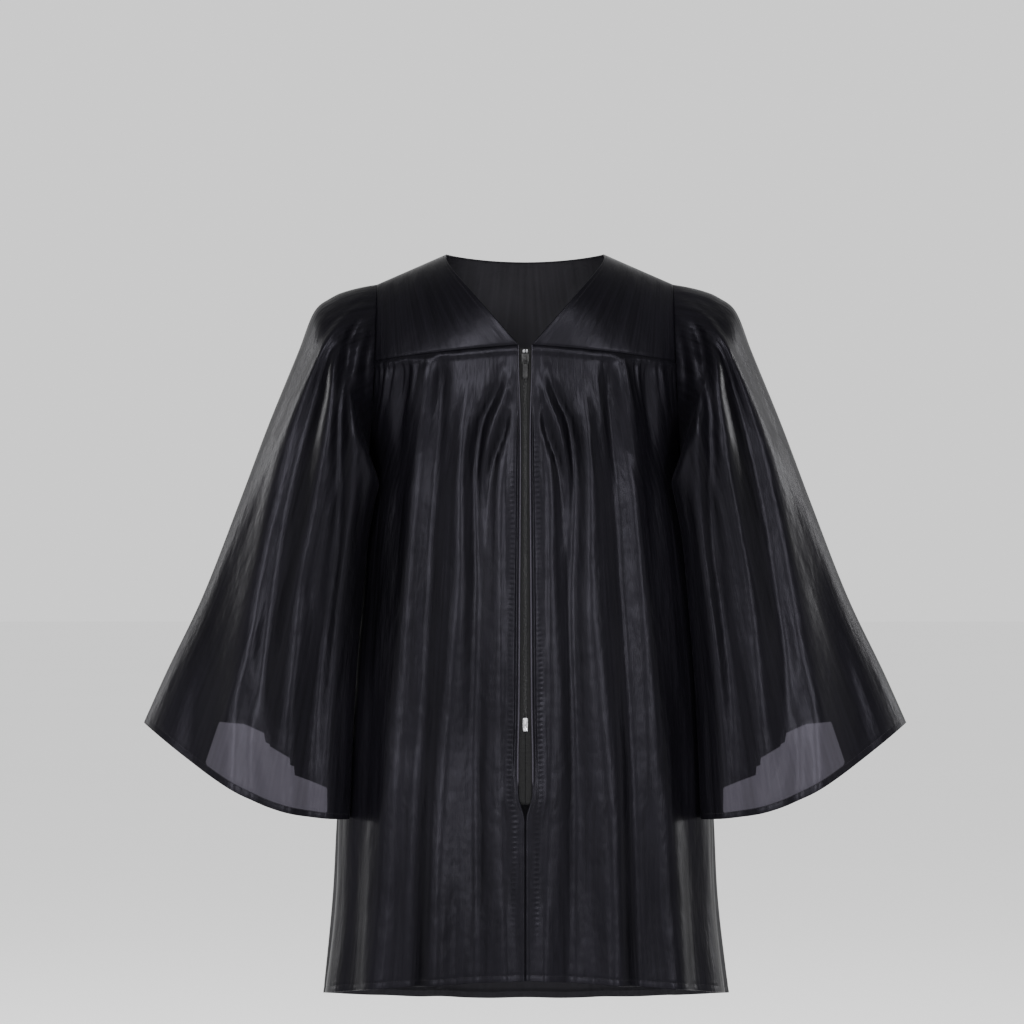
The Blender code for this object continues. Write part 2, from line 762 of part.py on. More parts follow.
def build_zip():
    """Tapes, coil, stops, slider and pull tab."""
    forward = Vector((0, -1, 0))
    tape_inset = WALL + 2 * SEAM_GAP
    for name, side in (("left", 1), ("right", -1)):
        edges = [side * SEAM_GAP / 2, side * TAPE_WIDTH / 2, side * TAPE_WIDTH]
        rows = strip_rows(edges, TAPE_TOP_Z, TAPE_END_Z, tape_inset, ZIP_ROWS)
        cloth("zip_tape_" + name, rows, lambda p: forward, wall=TAPE_THICKNESS, finish=TAPE)
    coil_inset = tape_inset - SEAM_GAP - COIL_THICKNESS
    edges = [-COIL_WIDTH / 2, 0.0, COIL_WIDTH / 2]
    end = STOP_TOP_Z + SEAM_GAP
    rows = strip_rows(edges, COIL_TOP_Z, end, coil_inset, ZIP_ROWS)
    cloth("zip_coil", rows, lambda p: forward, wall=COIL_THICKNESS, finish=COIL)
    stop_z = STOP_TOP_Z - STOP_SIZE.z / 2
    stop_y = front_face_y(stop_z - STOP_SIZE.z / 2) + tape_inset - SEAM_GAP - STOP_SIZE.y / 2
    block("zip_bottom_stop", Vector((0, stop_y, stop_z)), STOP_SIZE, STEEL, BROAD_EDGE)
    build_slider()


def build_slider():
    """The slider, closed at the top of the zip, and the tab that swings in its bail."""
    slider_foot_z = SLIDER_Z - SLIDER_SIZE.z / 2
    coil_face = front_face_y(slider_foot_z) + WALL + SEAM_GAP - COIL_THICKNESS
    plate_y = coil_face - SEAM_GAP - SLIDER_SIZE.y / 2
    slider_at = Vector((0, plate_y, SLIDER_Z))
    slider = block("zip_slider", slider_at, SLIDER_SIZE, LACQUER, PLATE_EDGE)
    plate_back = plate_y + SLIDER_SIZE.y / 2
    plate_front = plate_y - SLIDER_SIZE.y / 2
    apply_modifiers(slider)
    flange_end = front_face_y(slider_foot_z) + WALL + SEAM_GAP
    flange_depth = flange_end - plate_back + BITE
    for side in (-1, 1):
        centre = Vector((
            side * (SLIDER_SIZE.x - SLIDER_FLANGE_WIDTH) / 2,
            flange_end - flange_depth / 2,
            SLIDER_Z,
        ))
        size = Vector((SLIDER_FLANGE_WIDTH, flange_depth, SLIDER_SIZE.z - FLANGE_SHORTER))
        join(slider, block("flange", centre, size, LACQUER, THIN_EDGE))
    bail_depth = BAIL_OPENING.y + BAIL_BAR + BITE
    outer = Vector((BAIL_WIDTH, bail_depth, BAIL_OPENING.z + 2 * BAIL_BAR))
    bail_y = plate_front + BITE - outer.y / 2
    bail = block("bail", Vector((0, bail_y, SLIDER_Z)), outer, LACQUER, BROAD_EDGE)
    apply_modifiers(bail)
    axis_y = plate_front - BAIL_OPENING.y / 2
    hole = Vector((3 * BAIL_WIDTH, BAIL_OPENING.y, BAIL_OPENING.z))
    hole_at = Vector((0, axis_y, SLIDER_Z))
    cut(bail, block("bail_hole", hole_at, hole, LACQUER, THIN_EDGE))
    join(slider, bail)
    build_tab(axis_y)
    build_top_stops()


def build_tab(axis_y):
    """The pull tab, whose origin is the middle of the bar that turns in the bail."""
    axis_z = SLIDER_Z - BAIL_OPENING.z / 2 + TAB_PLAY + TAB_THICKNESS / 2
    plate = Vector((TAB_WIDTH, TAB_THICKNESS, TAB_LENGTH))
    tab = block("zip_pull_tab", Vector((0, axis_y, axis_z)), plate, LACQUER, TAB_EDGE)
    tab.data.transform(Matrix.Translation((0, 0, (TAB_THICKNESS - TAB_LENGTH) / 2)))
    apply_modifiers(tab)
    window = Vector((TAB_WINDOW.x, 4 * TAB_THICKNESS, TAB_WINDOW.z))
    window_z = axis_z - TAB_THICKNESS / 2 - TAB_WINDOW.z / 2
    window_at = Vector((0, axis_y, window_z))
    cut(tab, block("tab_window", window_at, window, LACQUER, THIN_EDGE))


def build_top_stops():
    """The two stops just above the slider."""
    for side, name in ((1, "left"), (-1, "right")):
        stop_z = SLIDER_Z + SLIDER_SIZE.z / 2 + TOP_STOP_SIZE.z / 2 + 2 * SEAM_GAP
        stop_y = front_face_y(stop_z) + WALL - SEAM_GAP - TOP_STOP_SIZE.y / 2
        centre = Vector((side * (TOP_STOP_SIZE.x / 2 + SEAM_GAP), stop_y, stop_z))
        block("zip_top_stop_" + name, centre, TOP_STOP_SIZE, STEEL, PLATE_EDGE)


def build_gown():
    """Every piece of the gown."""
    for name, side in (("left", 1), ("right", -1)):
        cloth("front_yoke_" + name, front_yoke_rows(side), from_axis)
        cloth("front_panel_" + name, front_panel_rows(side), from_axis)
        cloth("sleeve_" + name, sleeve_rows(side), from_sleeve_axis(side), ring=True)
    cloth("back_yoke", back_yoke_rows(), from_axis)
    cloth("back_panel", back_panel_rows(), from_axis)
    build_zip()


for old in list(bpy.data.objects):
    bpy.data.objects.remove(old)
bpy.context.scene.collection.children.link(bpy.data.collections.new(COLLECTION))
build_gown()
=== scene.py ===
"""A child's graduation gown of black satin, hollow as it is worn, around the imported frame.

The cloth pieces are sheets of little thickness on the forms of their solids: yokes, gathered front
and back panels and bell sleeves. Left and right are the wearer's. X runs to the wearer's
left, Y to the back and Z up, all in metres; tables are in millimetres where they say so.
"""

import logging
import math
from dataclasses import dataclass
from enum import Enum

import bmesh
import bpy
import numpy as np
from mathutils import Matrix, Vector

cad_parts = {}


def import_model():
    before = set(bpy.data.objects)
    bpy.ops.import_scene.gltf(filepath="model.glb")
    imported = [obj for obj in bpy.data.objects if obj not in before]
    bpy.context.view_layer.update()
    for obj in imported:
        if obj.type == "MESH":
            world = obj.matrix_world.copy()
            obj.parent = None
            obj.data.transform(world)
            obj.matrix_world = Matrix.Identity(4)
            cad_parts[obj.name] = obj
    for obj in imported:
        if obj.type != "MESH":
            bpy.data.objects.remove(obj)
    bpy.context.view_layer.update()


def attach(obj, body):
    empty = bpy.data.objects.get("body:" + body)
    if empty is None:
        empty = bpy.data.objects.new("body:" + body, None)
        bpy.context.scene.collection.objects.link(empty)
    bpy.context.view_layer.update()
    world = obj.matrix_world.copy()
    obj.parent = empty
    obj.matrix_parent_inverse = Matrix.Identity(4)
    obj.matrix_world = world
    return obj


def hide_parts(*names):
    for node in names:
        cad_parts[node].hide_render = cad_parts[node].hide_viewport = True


LOG = logging.getLogger("gown")

MM = 0.001
Array = np.ndarray
Rows = tuple[tuple[float, ...], ...]


class Face(Enum):
    """Which way a part of the gown looks."""

    FRONT = -1
    BACK = 1


class Side(Enum):
    """The wearer's left or right."""

    LEFT = 1
    RIGHT = -1

    @property
    def word(self) -> str:
        """The side's name in a piece's name."""
        return self.name.lower()


# Curves


def ease(share: Array | float) -> Array:
    """A smooth step from 0 to 1."""
    share = np.clip(share, 0.0, 1.0)
    return share * share * (3 - 2 * share)


def blend(a: Array | float, b: Array | float, share: Array | float) -> Array:
    """The value that lies the given share of the way from a to b."""
    return a + (b - a) * share


def smooth_read(keys: Array, values: Array, where: Array) -> Array:
    """Read values between their keys on a smooth curve.

    Args:
        keys: Rising places of the values.
        values: The value at each place.
        where: Places to read at; beyond the ends the end values hold.

    Returns:
        One value for each place.
    """
    slopes = np.diff(values) / np.diff(keys)
    tangents = np.concatenate((slopes[:1], (slopes[:-1] + slopes[1:]) / 2, slopes[-1:]))
    where = np.clip(where, keys[0], keys[-1])
    i = np.clip(np.searchsorted(keys, where, side="left") - 1, 0, len(keys) - 2)
    width = keys[i + 1] - keys[i]
    s = (where - keys[i]) / width
    return (
        (2 * s**3 - 3 * s**2 + 1) * values[i]
        + (s**3 - 2 * s**2 + s) * width * tangents[i]
        + (3 * s**2 - 2 * s**3) * values[i + 1]
        + (s**3 - s**2) * width * tangents[i + 1]
    )


class Table:
    """Rows of named columns, read between the rows; lengths are millimetres."""

    def __init__(self, names: str, rows: Rows) -> None:
        """Keep the columns, with the first as the rising key."""
        columns = np.array(rows, dtype=float).T
        if columns[0][0] > columns[0][-1]:
            columns = columns[:, ::-1]
        self.columns = dict(zip(names.split(), columns))
        self.key = columns[0]

    def read(self, name: str, where: Array) -> Array:
        """A column at the given places of the key."""
        return smooth_read(self.key, self.columns[name], where)


# The form that the body of the gown hangs in

SEAM_GAP = 0.3 * MM
NECK_HALF_WIDTH = 80 * MM
ARMHOLE_TOP = (151 * MM, -31 * MM)
UNDERARM = (158 * MM, -205 * MM)
FRONT_YOKE_Z = (-95 * MM, -111 * MM)  # at the zip and at the armhole
BACK_YOKE_Z = -128 * MM
SIDE_HEM_Z = -753 * MM
FRONT_HEM_Z = -732 * MM
BACK_HEM_Z = -769 * MM
BACK_NECK_DIP = 6 * MM
ZIP_OPENING = 6.5 * MM
ZIP_OPENING_END_Z = -545 * MM
CENTRE_SEAM_TOP_Z = -574 * MM
TURNED = 7.5 * MM  # how deep a hem or the neck's facing makes the cloth double
HEM_STITCH = 6.4 * MM  # from the hem's edge to its row of stitches
NECK_STITCH = 5.2 * MM
HAIR = 0.05 * MM  # keeps faces that would meet just apart

BODY_LEVELS = Table(
    "z half_width front back",
    (
        (20, 170, 86, 82),
        (-60, 176, 90, 88),
        (-110, 176, 93, 92),
        (-160, 169, 95, 95),
        (-205, 158, 96, 97),
        (-251, 163, 97, 99),
        (-312, 171, 99, 102),
        (-394, 180, 103, 106),
        (-496, 187, 108, 111),
        (-577, 190, 113, 116),
        (-658, 193, 117, 120),
        (-753, 204, 121, 125),
        (-800, 211, 123, 127),
    ),
)


class Torso:
    """The smooth form under the folds of the body, as sections at each height."""

    power = 2.4
    slope = -ARMHOLE_TOP[1] / (ARMHOLE_TOP[0] - NECK_HALF_WIDTH)
    shoulder_roll = 110 * MM
    crowding = 45 * MM  # below the underarm, where the columns are even again

    def size(self, name: str, z: Array) -> Array:
        """A size of the section at a height."""
        return BODY_LEVELS.read(name, np.asarray(z) / MM) * MM

    def depth(self, face: Face, z: Array) -> Array:
        """How far the section reaches to the front or the back."""
        return self.size("front" if face is Face.FRONT else "back", z)

    def shoulder_height(self, x: Array) -> Array:
        """The height of the shoulder line, with a soft arch over the neck."""
        x = np.abs(x)
        arch = self.slope * (NECK_HALF_WIDTH - x * x / NECK_HALF_WIDTH) / 2
        return np.where(x >= NECK_HALF_WIDTH, -self.slope * (x - NECK_HALF_WIDTH), arch)

    def roll(self, x: Array, z: Array) -> Array:
        """The share of the full depth that is reached below the shoulder line."""
        share = np.clip((self.shoulder_height(x) - z) / self.shoulder_roll, 0.0, 1.0)
        return np.sqrt(1 - (1 - share) ** 2)

    def point(self, angle: Array, z: Array, face: Face) -> Array:
        """Points of the form; the angle is 0 at the middle and pi/2 at the side."""
        power = 2 / self.power
        x = self.size("half_width", z) * np.sin(angle) ** power
        y = self.depth(face, z) * np.maximum(np.cos(angle), 0.0) ** power
        return np.stack((x, face.value * y * self.roll(x, z), z + 0 * x), axis=-1)

    def angle_at(self, x: Array, z: Array) -> Array:
        """The angle at which the form is this far from the middle."""
        share = np.minimum(np.abs(x) / self.size("half_width", z), 1.0)
        return np.arcsin(share ** (self.power / 2))

    def surface(self, x: Array, z: Array, face: Face) -> Array:
        """Points of the form this far from the middle, at these heights."""
        return self.point(self.angle_at(x, z), z, face)

    def armhole_x(self, z: Array) -> Array:
        """The distance of the armhole's edge from the middle."""
        share = (z - ARMHOLE_TOP[1]) / (UNDERARM[1] - ARMHOLE_TOP[1])
        return blend(ARMHOLE_TOP[0], UNDERARM[0], np.clip(share, 0.0, 1.0) ** 2)

    def side_angle(self, z: Array) -> Array:
        """The angle of a panel's side edge: the armhole, then the side seam."""
        at_armhole = self.angle_at(self.armhole_x(z), z)
        return np.where(z <= UNDERARM[1], math.pi / 2, at_armhole)

    def column_angle(self, start: Array, across: Array, z: Array) -> Array:
        """The angle of a panel's column, from its first edge (0) to its side (1)."""
        seam_z = FRONT_YOKE_Z[1]
        height = seam_z - UNDERARM[1] + self.crowding
        spread = ease((UNDERARM[1] - self.crowding - z) / height + 1)
        even = blend(self.side_angle(np.asarray(seam_z)), math.pi / 2, spread)
        return blend(start, even, across) + (self.side_angle(z) - even) * across**6

    def side_reach(self, y: Array, z: Array) -> Array:
        """How far the form reaches to the side at this depth and height."""
        depth = np.where(y < 0, self.size("front", z), self.size("back", z))
        share = np.minimum(np.abs(y) / depth, 1.0)
        return self.size("half_width", z) * (1 - share**self.power) ** (1 / self.power)


TORSO = Torso()


# Folds


@dataclass(frozen=True)
class Fold:
    """A main fold. Its rows are height, crest, half width and rise in millimetres.

    Below its last row a fold goes on as it is there.
    """

    name: str
    rows: Rows
    fullness: float = 1.6

    def rise(self, x: Array, z: Array) -> Array:
        """How far the fold pushes the cloth out at a place, in metres."""
        table = Table("z crest half rise", self.rows)
        height = z / MM
        away = np.abs(np.abs(x) / MM - table.read("crest", height)) / table.read("half", height)
        crown = table.read("rise", height) * np.exp(-self.fullness * away * away)
        return np.where(height <= table.key[-1], crown, 0.0) * MM


def main_rise(folds: tuple[Fold, ...], x: Array, z: Array) -> Array:
    """The sum of the main folds at each place, in metres."""
    return sum(fold.rise(x, z) for fold in folds)


@dataclass(frozen=True)
class Gathers:
    """Small folds in rows of random places, such as gathers that fall from a seam.

    Lengths are metres and each pair holds the least and the most. A crest stays at its
    share of the piece's width, so that the folds spread as the piece widens.
    """

    seed: int
    count: int
    first: tuple[float, float]  # how far down a fold starts
    length: tuple[float, float]
    half_width: tuple[float, float]
    rise: tuple[float, float]
    drift: float = 0.03  # sideways, as a share of the width for each metre down
    into: float = 0.5  # the share of the folds that go in

    def push(self, share: Array, down: Array, width: Array) -> Array:
        """How far the small folds push the cloth out.

        Args:
            share: The place across the piece, from 0 to 1.
            down: The distance below the piece's top edge.
            width: The piece's width there.

        Returns:
            The push at each place, in metres.
        """
        draw = np.random.default_rng(self.seed)
        total = np.zeros(np.broadcast(share, down).shape)
        for i in range(self.count):
            place = (i + draw.uniform(0.1, 0.9)) / self.count
            first = draw.uniform(*self.first)
            length = draw.uniform(*self.length)
            half = draw.uniform(*self.half_width)
            rise = draw.uniform(*self.rise) * (-1 if draw.random() < self.into else 1)
            lean = draw.normal(0.0, self.drift)
            sway = draw.uniform(0.0, 0.006)
            turn = draw.uniform(0.0, 2 * math.pi)
            along = (down - first) / length
            crest = place + lean * (down - first) + sway * np.sin(9 * along + turn)
            away = (share - crest) * width / (half * (0.8 + 0.5 * np.clip(along, 0, 1)))
            window = ease(along / 0.16) * (1 - ease((along - 0.3) / 0.7))
            total += rise * window * np.exp(-1.6 * away * away)
        return total


# The spacing of a sheet's rows and columns


@dataclass(frozen=True)
class Spacing:
    """Places along an edge, closer together where a seam or a hem is. In metres."""

    pitch: float = 3.0 * MM
    seam_steps: tuple[float, ...] = (0.0, 0.7 * MM, 1.5 * MM, 2.7 * MM, 4.5 * MM, 6.6 * MM)
    hem_steps: tuple[float, ...] = (
        0.0, 0.8 * MM, 2.2 * MM, 4.2 * MM, 6.0 * MM, 7.0 * MM, 8.2 * MM,
    )

    def shares(self, length: float, start: tuple[float, ...], end: tuple[float, ...]) -> Array:
        """Shares of a length, from 0 to 1.

        Args:
            length: How long the edge is.
            start: Distances of the close steps from the first end.
            end: Distances of the close steps from the last end.

        Returns:
            Rising shares, with even steps between the close ones.
        """
        first, last = start[-1], length - end[-1]
        steps = max(2, round((last - first) / self.pitch))
        middle = np.linspace(first, last, steps + 1)[1:-1]
        places = np.concatenate((start, middle, length - np.array(end[::-1])))
        return places / length


SPACING = Spacing()


# Finishes


class Wire:
    """A socket whose value can be used in sums, which add their Math nodes."""

    def __init__(self, book: "NodeBook", socket: bpy.types.NodeSocket) -> None:
        """Keep the socket and the book that its material is written in."""
        self.book = book
        self.socket = socket

    def math(self, operation: str, *others: "Wire | float", clamp: bool = False) -> "Wire":
        """The result of a Math node on this socket and other values."""
        settings = {"operation": operation, "use_clamp": clamp}
        return self.book.add("ShaderNodeMath", settings, [self, *others])

    def __add__(self, other: "Wire | float") -> "Wire":
        """The sum."""
        return self.math("ADD", other)

    __radd__ = __add__

    def __mul__(self, other: "Wire | float") -> "Wire":
        """The product."""
        return self.math("MULTIPLY", other)

    __rmul__ = __mul__


class NodeBook:
    """The nodes of one material."""

    def __init__(self, name: str) -> None:
        """Start a material with a shader and an output."""
        self.material = bpy.data.materials.new(name)
        self.material.use_nodes = True
        self.tree = self.material.node_tree
        self.shader = self.tree.nodes["Principled BSDF"]
        self.output = self.tree.nodes["Material Output"]

    def add(self, kind: str, settings: dict, inputs: dict | list, out: str | int = 0) -> Wire:
        """Add a node.

        Args:
            kind: The node's type.
            settings: The node's own settings, which are set first.
            inputs: Values or wires for its sockets, by name or in order.
            out: Which output to give back.

        Returns:
            The chosen output.
        """
        node = self.tree.nodes.new(kind)
        for key, value in settings.items():
            if key == "stops":
                self.set_stops(node, value)
            else:
                setattr(node, key, value)
        pairs = inputs.items() if isinstance(inputs, dict) else enumerate(inputs)
        for key, value in pairs:
            if isinstance(value, Wire):
                self.tree.links.new(value.socket, node.inputs[key])
            else:
                node.inputs[key].default_value = value
        return Wire(self, node.outputs[out])

    def set_stops(self, node: bpy.types.Node, stops: tuple[tuple[float, float], ...]) -> None:
        """Set the places and grey values of a ramp's stops."""
        elements = node.color_ramp.elements
        while len(elements) < len(stops):
            elements.new(0.5)
        for element, (place, grey) in zip(elements, stops):
            element.position = place
            element.color = (grey, grey, grey, 1.0)

    def place(self, source: str, scale: tuple[float, float, float]) -> Wire:
        """Object or UV coordinates, stretched by a scale along each axis."""
        at = self.add("ShaderNodeTexCoord", {}, {}, source)
        return self.add("ShaderNodeMapping", {}, {"Vector": at, "Scale": scale}, "Vector")

    def noise(self, at: Wire, detail: float, roughness: float = 0.5, scale: float = 1.0) -> Wire:
        """The value of a noise texture at stretched coordinates."""
        inputs = {"Vector": at, "Scale": scale, "Detail": detail, "Roughness": roughness}
        return self.add("ShaderNodeTexNoise", {}, inputs, 0)

    def ramp(self, value: Wire, *stops: tuple[float, float]) -> Wire:
        """A value passed through grey stops."""
        return self.add("ShaderNodeValToRGB", {"stops": stops}, {"Fac": value})

    def mix(self, share: Wire, first: "Wire | tuple", second: "Wire | tuple") -> Wire:
        """A colour between two, by a share."""
        first, second = (
            colour if isinstance(colour, Wire) else (*colour, 1.0) for colour in (first, second)
        )
        return self.add(
            "ShaderNodeMix", {"data_type": "RGBA"}, {0: share, 6: first, 7: second}, 2
        )

    def bump(
        self, height: Wire, strength: float, distance: float, under: Wire | None = None
    ) -> Wire:
        """The normal over a relief, whose height is a share of the distance."""
        inputs = {"Strength": strength, "Distance": distance, "Height": height}
        if under is not None:
            inputs["Normal"] = under
        return self.add("ShaderNodeBump", {}, inputs, "Normal")

    def join(self, value: Wire, socket: str) -> None:
        """Lead a wire into one of the shader's sockets."""
        self.tree.links.new(value.socket, self.shader.inputs[socket])

    def fix(self, **values: float | tuple) -> None:
        """Set the shader's own sockets; an underscore stands for a space."""
        for key, value in values.items():
            socket = key.replace("_", " ").title().replace("Ior", "IOR")
            self.shader.inputs[socket].default_value = value


@dataclass(frozen=True)
class Satin:
    """Black polyester satin, seen on its shiny or its wrong side."""

    name: str
    dark: tuple[float, float, float]
    light: tuple[float, float, float]
    roughness: tuple[float, float]
    sheen: float
    streak: float  # strength of the fine streaks that the long floats make
    # Painted light: a lighter base colour that stands in for light shining through a single layer
    # of cloth and for the highlight along a folded edge.
    through: tuple[float, float, float] = (0.0165, 0.0153, 0.0192)  # where light comes through

    def build(self) -> bpy.types.Material:
        """The material, on the cut's own coordinates in metres."""
        book = NodeBook(self.name)
        fine = book.noise(book.place("UV", (1500, 55, 1)), 2.0)
        slub = book.noise(book.place("UV", (260, 7, 1)), 3.0)
        weft = book.noise(book.place("UV", (90, 1300, 1)), 1.0)
        crumple = book.noise(book.place("UV", (34, 15, 1)), 3.0, 0.55)
        cloud = book.noise(book.place("Object", (9, 9, 6)), 2.0)
        tone = book.ramp(slub * 0.5 + cloud * 0.5, (0.35, 0.0), (0.68, 1.0))
        # Painted light: the mask attribute turns the base colour towards the through colour. This
        # paints the glow of light through a single layer and a highlight along a folded edge.
        inside = book.add("ShaderNodeAttribute", {"attribute_name": "thin"}, {}, "Fac")
        through = (inside * 1.5 + 0.5).math("MULTIPLY", 1.0, clamp=True)
        cloth = book.mix(tone, self.dark, self.light)
        book.join(book.mix(through * (0.55 + 0.45 * slub), cloth, self.through), "Base Color")
        low, high = self.roughness
        book.join(low + (high - low) * (fine * 0.4 + slub * 0.6), "Roughness")
        soft = book.bump(crumple, 0.55, 3.2 * MM)
        grain = book.bump(slub * 0.7 + fine * 0.22 + weft * 0.08, self.streak, 0.55 * MM, soft)
        book.join(grain, "Normal")
        book.fix(
            sheen_weight=self.sheen,
            sheen_roughness=0.35,
            sheen_tint=(0.62, 0.58, 0.78, 1.0),
            specular_tint=(0.86, 0.83, 1.0, 1.0),
            specular_ior_level=0.042,
            anisotropic=0.35,
        )
        return book.material


@dataclass(frozen=True)
class Weave:
    """Matte woven tape, thread or webbing."""

    name: str
    dark: tuple[float, float, float]
    light: tuple[float, float, float]
    ribs: tuple[float, float, float]  # ribs to the metre along each axis

    def build(self) -> bpy.types.Material:
        """The material, on Object coordinates."""
        book = NodeBook(self.name)
        rib = book.noise(book.place("Object", self.ribs), 1.0)
        fuzz = book.noise(book.place("Object", (2500, 2500, 2500)), 2.0)
        tone = book.ramp(rib * 0.7 + fuzz * 0.3, (0.35, 0.0), (0.65, 1.0))
        book.join(book.mix(tone, self.dark, self.light), "Base Color")
        book.join(0.62 + 0.25 * fuzz, "Roughness")
        book.join(book.bump(rib * 0.8 + fuzz * 0.2, 0.6, 0.25 * MM), "Normal")
        book.fix(specular_ior_level=0.05)
        return book.material


@dataclass(frozen=True)
class Hard:
    """Moulded nylon, lacquered zinc or pressed metal."""

    name: str
    dark: tuple[float, float, float]
    light: tuple[float, float, float]
    roughness: tuple[float, float]
    metallic: float
    relief: float
    specular: float = 0.5

    def build(self) -> bpy.types.Material:
        """The material, on Object coordinates."""
        book = NodeBook(self.name)
        wear = book.noise(book.place("Object", (700, 700, 700)), 3.0, 0.6)
        scuff = book.noise(book.place("Object", (3200, 3200, 500)), 2.0)
        tone = book.ramp(wear * 0.75 + scuff * 0.25, (0.42, 0.0), (0.66, 1.0))
        book.join(book.mix(tone, self.dark, self.light), "Base Color")
        low, high = self.roughness
        book.join(low + (high - low) * wear, "Roughness")
        book.join(book.bump(wear * 0.4 + scuff * 0.6, 0.4, self.relief), "Normal")
        book.fix(metallic=self.metallic, specular_ior_level=self.specular)
        return book.material


@dataclass(frozen=True)
class Plain:
    """The pale floor's paint."""

    name: str
    colour: tuple[float, float, float]

    def build(self) -> bpy.types.Material:
        """The material, with a faint unevenness."""
        book = NodeBook(self.name)
        cloud = book.noise(book.place("Object", (0.8, 0.8, 0.8)), 2.0)
        darker = tuple(0.97 * value for value in self.colour)
        book.join(book.mix(cloud, darker, self.colour), "Base Color")
        book.fix(roughness=0.9)
        return book.material


SATIN = Satin(
    "satin_right_side", (0.0005, 0.00047, 0.00065), (0.0018, 0.00165, 0.0023),
    roughness=(0.27, 0.40), sheen=0.004, streak=0.5,
)
SATIN_INSIDE = Satin(
    "satin_wrong_side", (0.008, 0.0078, 0.0088), (0.013, 0.0125, 0.0145),
    roughness=(0.55, 0.7), sheen=0.02, streak=0.2,
)
THREAD = Weave("black_thread", (0.004, 0.004, 0.0045), (0.012, 0.011, 0.013), (900, 900, 900))
TAPE = Weave(
    "zip_tape_weave", (0.0015, 0.0015, 0.0016), (0.004, 0.004, 0.0042), (120, 120, 2600)
)
COIL = Hard(
    "coil_nylon", (0.004, 0.004, 0.0043), (0.010, 0.010, 0.0107),
    roughness=(0.28, 0.4), metallic=0.0, relief=0.03 * MM, specular=0.2,
)
LACQUER = Hard(
    "black_lacquer", (0.002, 0.002, 0.0022), (0.005, 0.005, 0.0055),
    roughness=(0.34, 0.48), metallic=0.0, relief=0.02 * MM, specular=0.08,
)
STEEL = Hard(
    "pressed_steel", (0.22, 0.22, 0.23), (0.40, 0.40, 0.41),
    roughness=(0.16, 0.26), metallic=1.0, relief=0.05 * MM,
)
DULL_STEEL = Hard(
    "dull_steel", (0.05, 0.05, 0.052), (0.11, 0.11, 0.115),
    roughness=(0.34, 0.46), metallic=1.0, relief=0.03 * MM,
)
FLOOR = Plain("pale_floor", (0.93, 0.93, 0.93))


# Meshes


def take_mesh(bm: bmesh.types.BMesh, name: str) -> bpy.types.Mesh:
    """A new mesh from a bmesh, which is then let go."""
    mesh = bpy.data.meshes.new(name)
    bm.to_mesh(mesh)
    bm.free()
    return mesh


def place_item(name: str, data: bpy.types.ID) -> bpy.types.Object:
    """A new object in the scene, for a mesh, a light or a camera."""
    item = bpy.data.objects.new(name, data)
    bpy.context.scene.collection.objects.link(item)
    return item


def grid_mesh(name: str, across: Array, down: Array) -> tuple[bpy.types.Mesh, Array, Array]:
    """A flat grid, to be moved into shape.

    Args:
        name: The mesh's name.
        across: Rising shares of its columns.
        down: Rising shares of its rows.

    Returns:
        The mesh, and each point's share across and share down.
    """
    bm = bmesh.new()
    bmesh.ops.create_grid(bm, x_segments=len(across) - 1, y_segments=len(down) - 1, size=0.5)
    mesh = take_mesh(bm, name)
    at = np.empty(3 * len(mesh.vertices))
    mesh.vertices.foreach_get("co", at)
    at = at.reshape(-1, 3)
    column = np.rint((at[:, 0] + 0.5) * (len(across) - 1)).astype(int)
    row = np.rint((0.5 - at[:, 1]) * (len(down) - 1)).astype(int)
    return mesh, across[column], down[row]


def weld(mesh: bpy.types.Mesh) -> None:
    """Join a mesh's points that lie on each other."""
    bm = bmesh.new()
    bm.from_mesh(mesh)
    bmesh.ops.remove_doubles(bm, verts=bm.verts, dist=0.02 * MM)
    bm.to_mesh(mesh)
    bm.free()


# Sheets of cloth


class Held(Enum):
    DRAPED = "draped"
    GATHERED = "gathered"
    STRETCHED = "stretched"


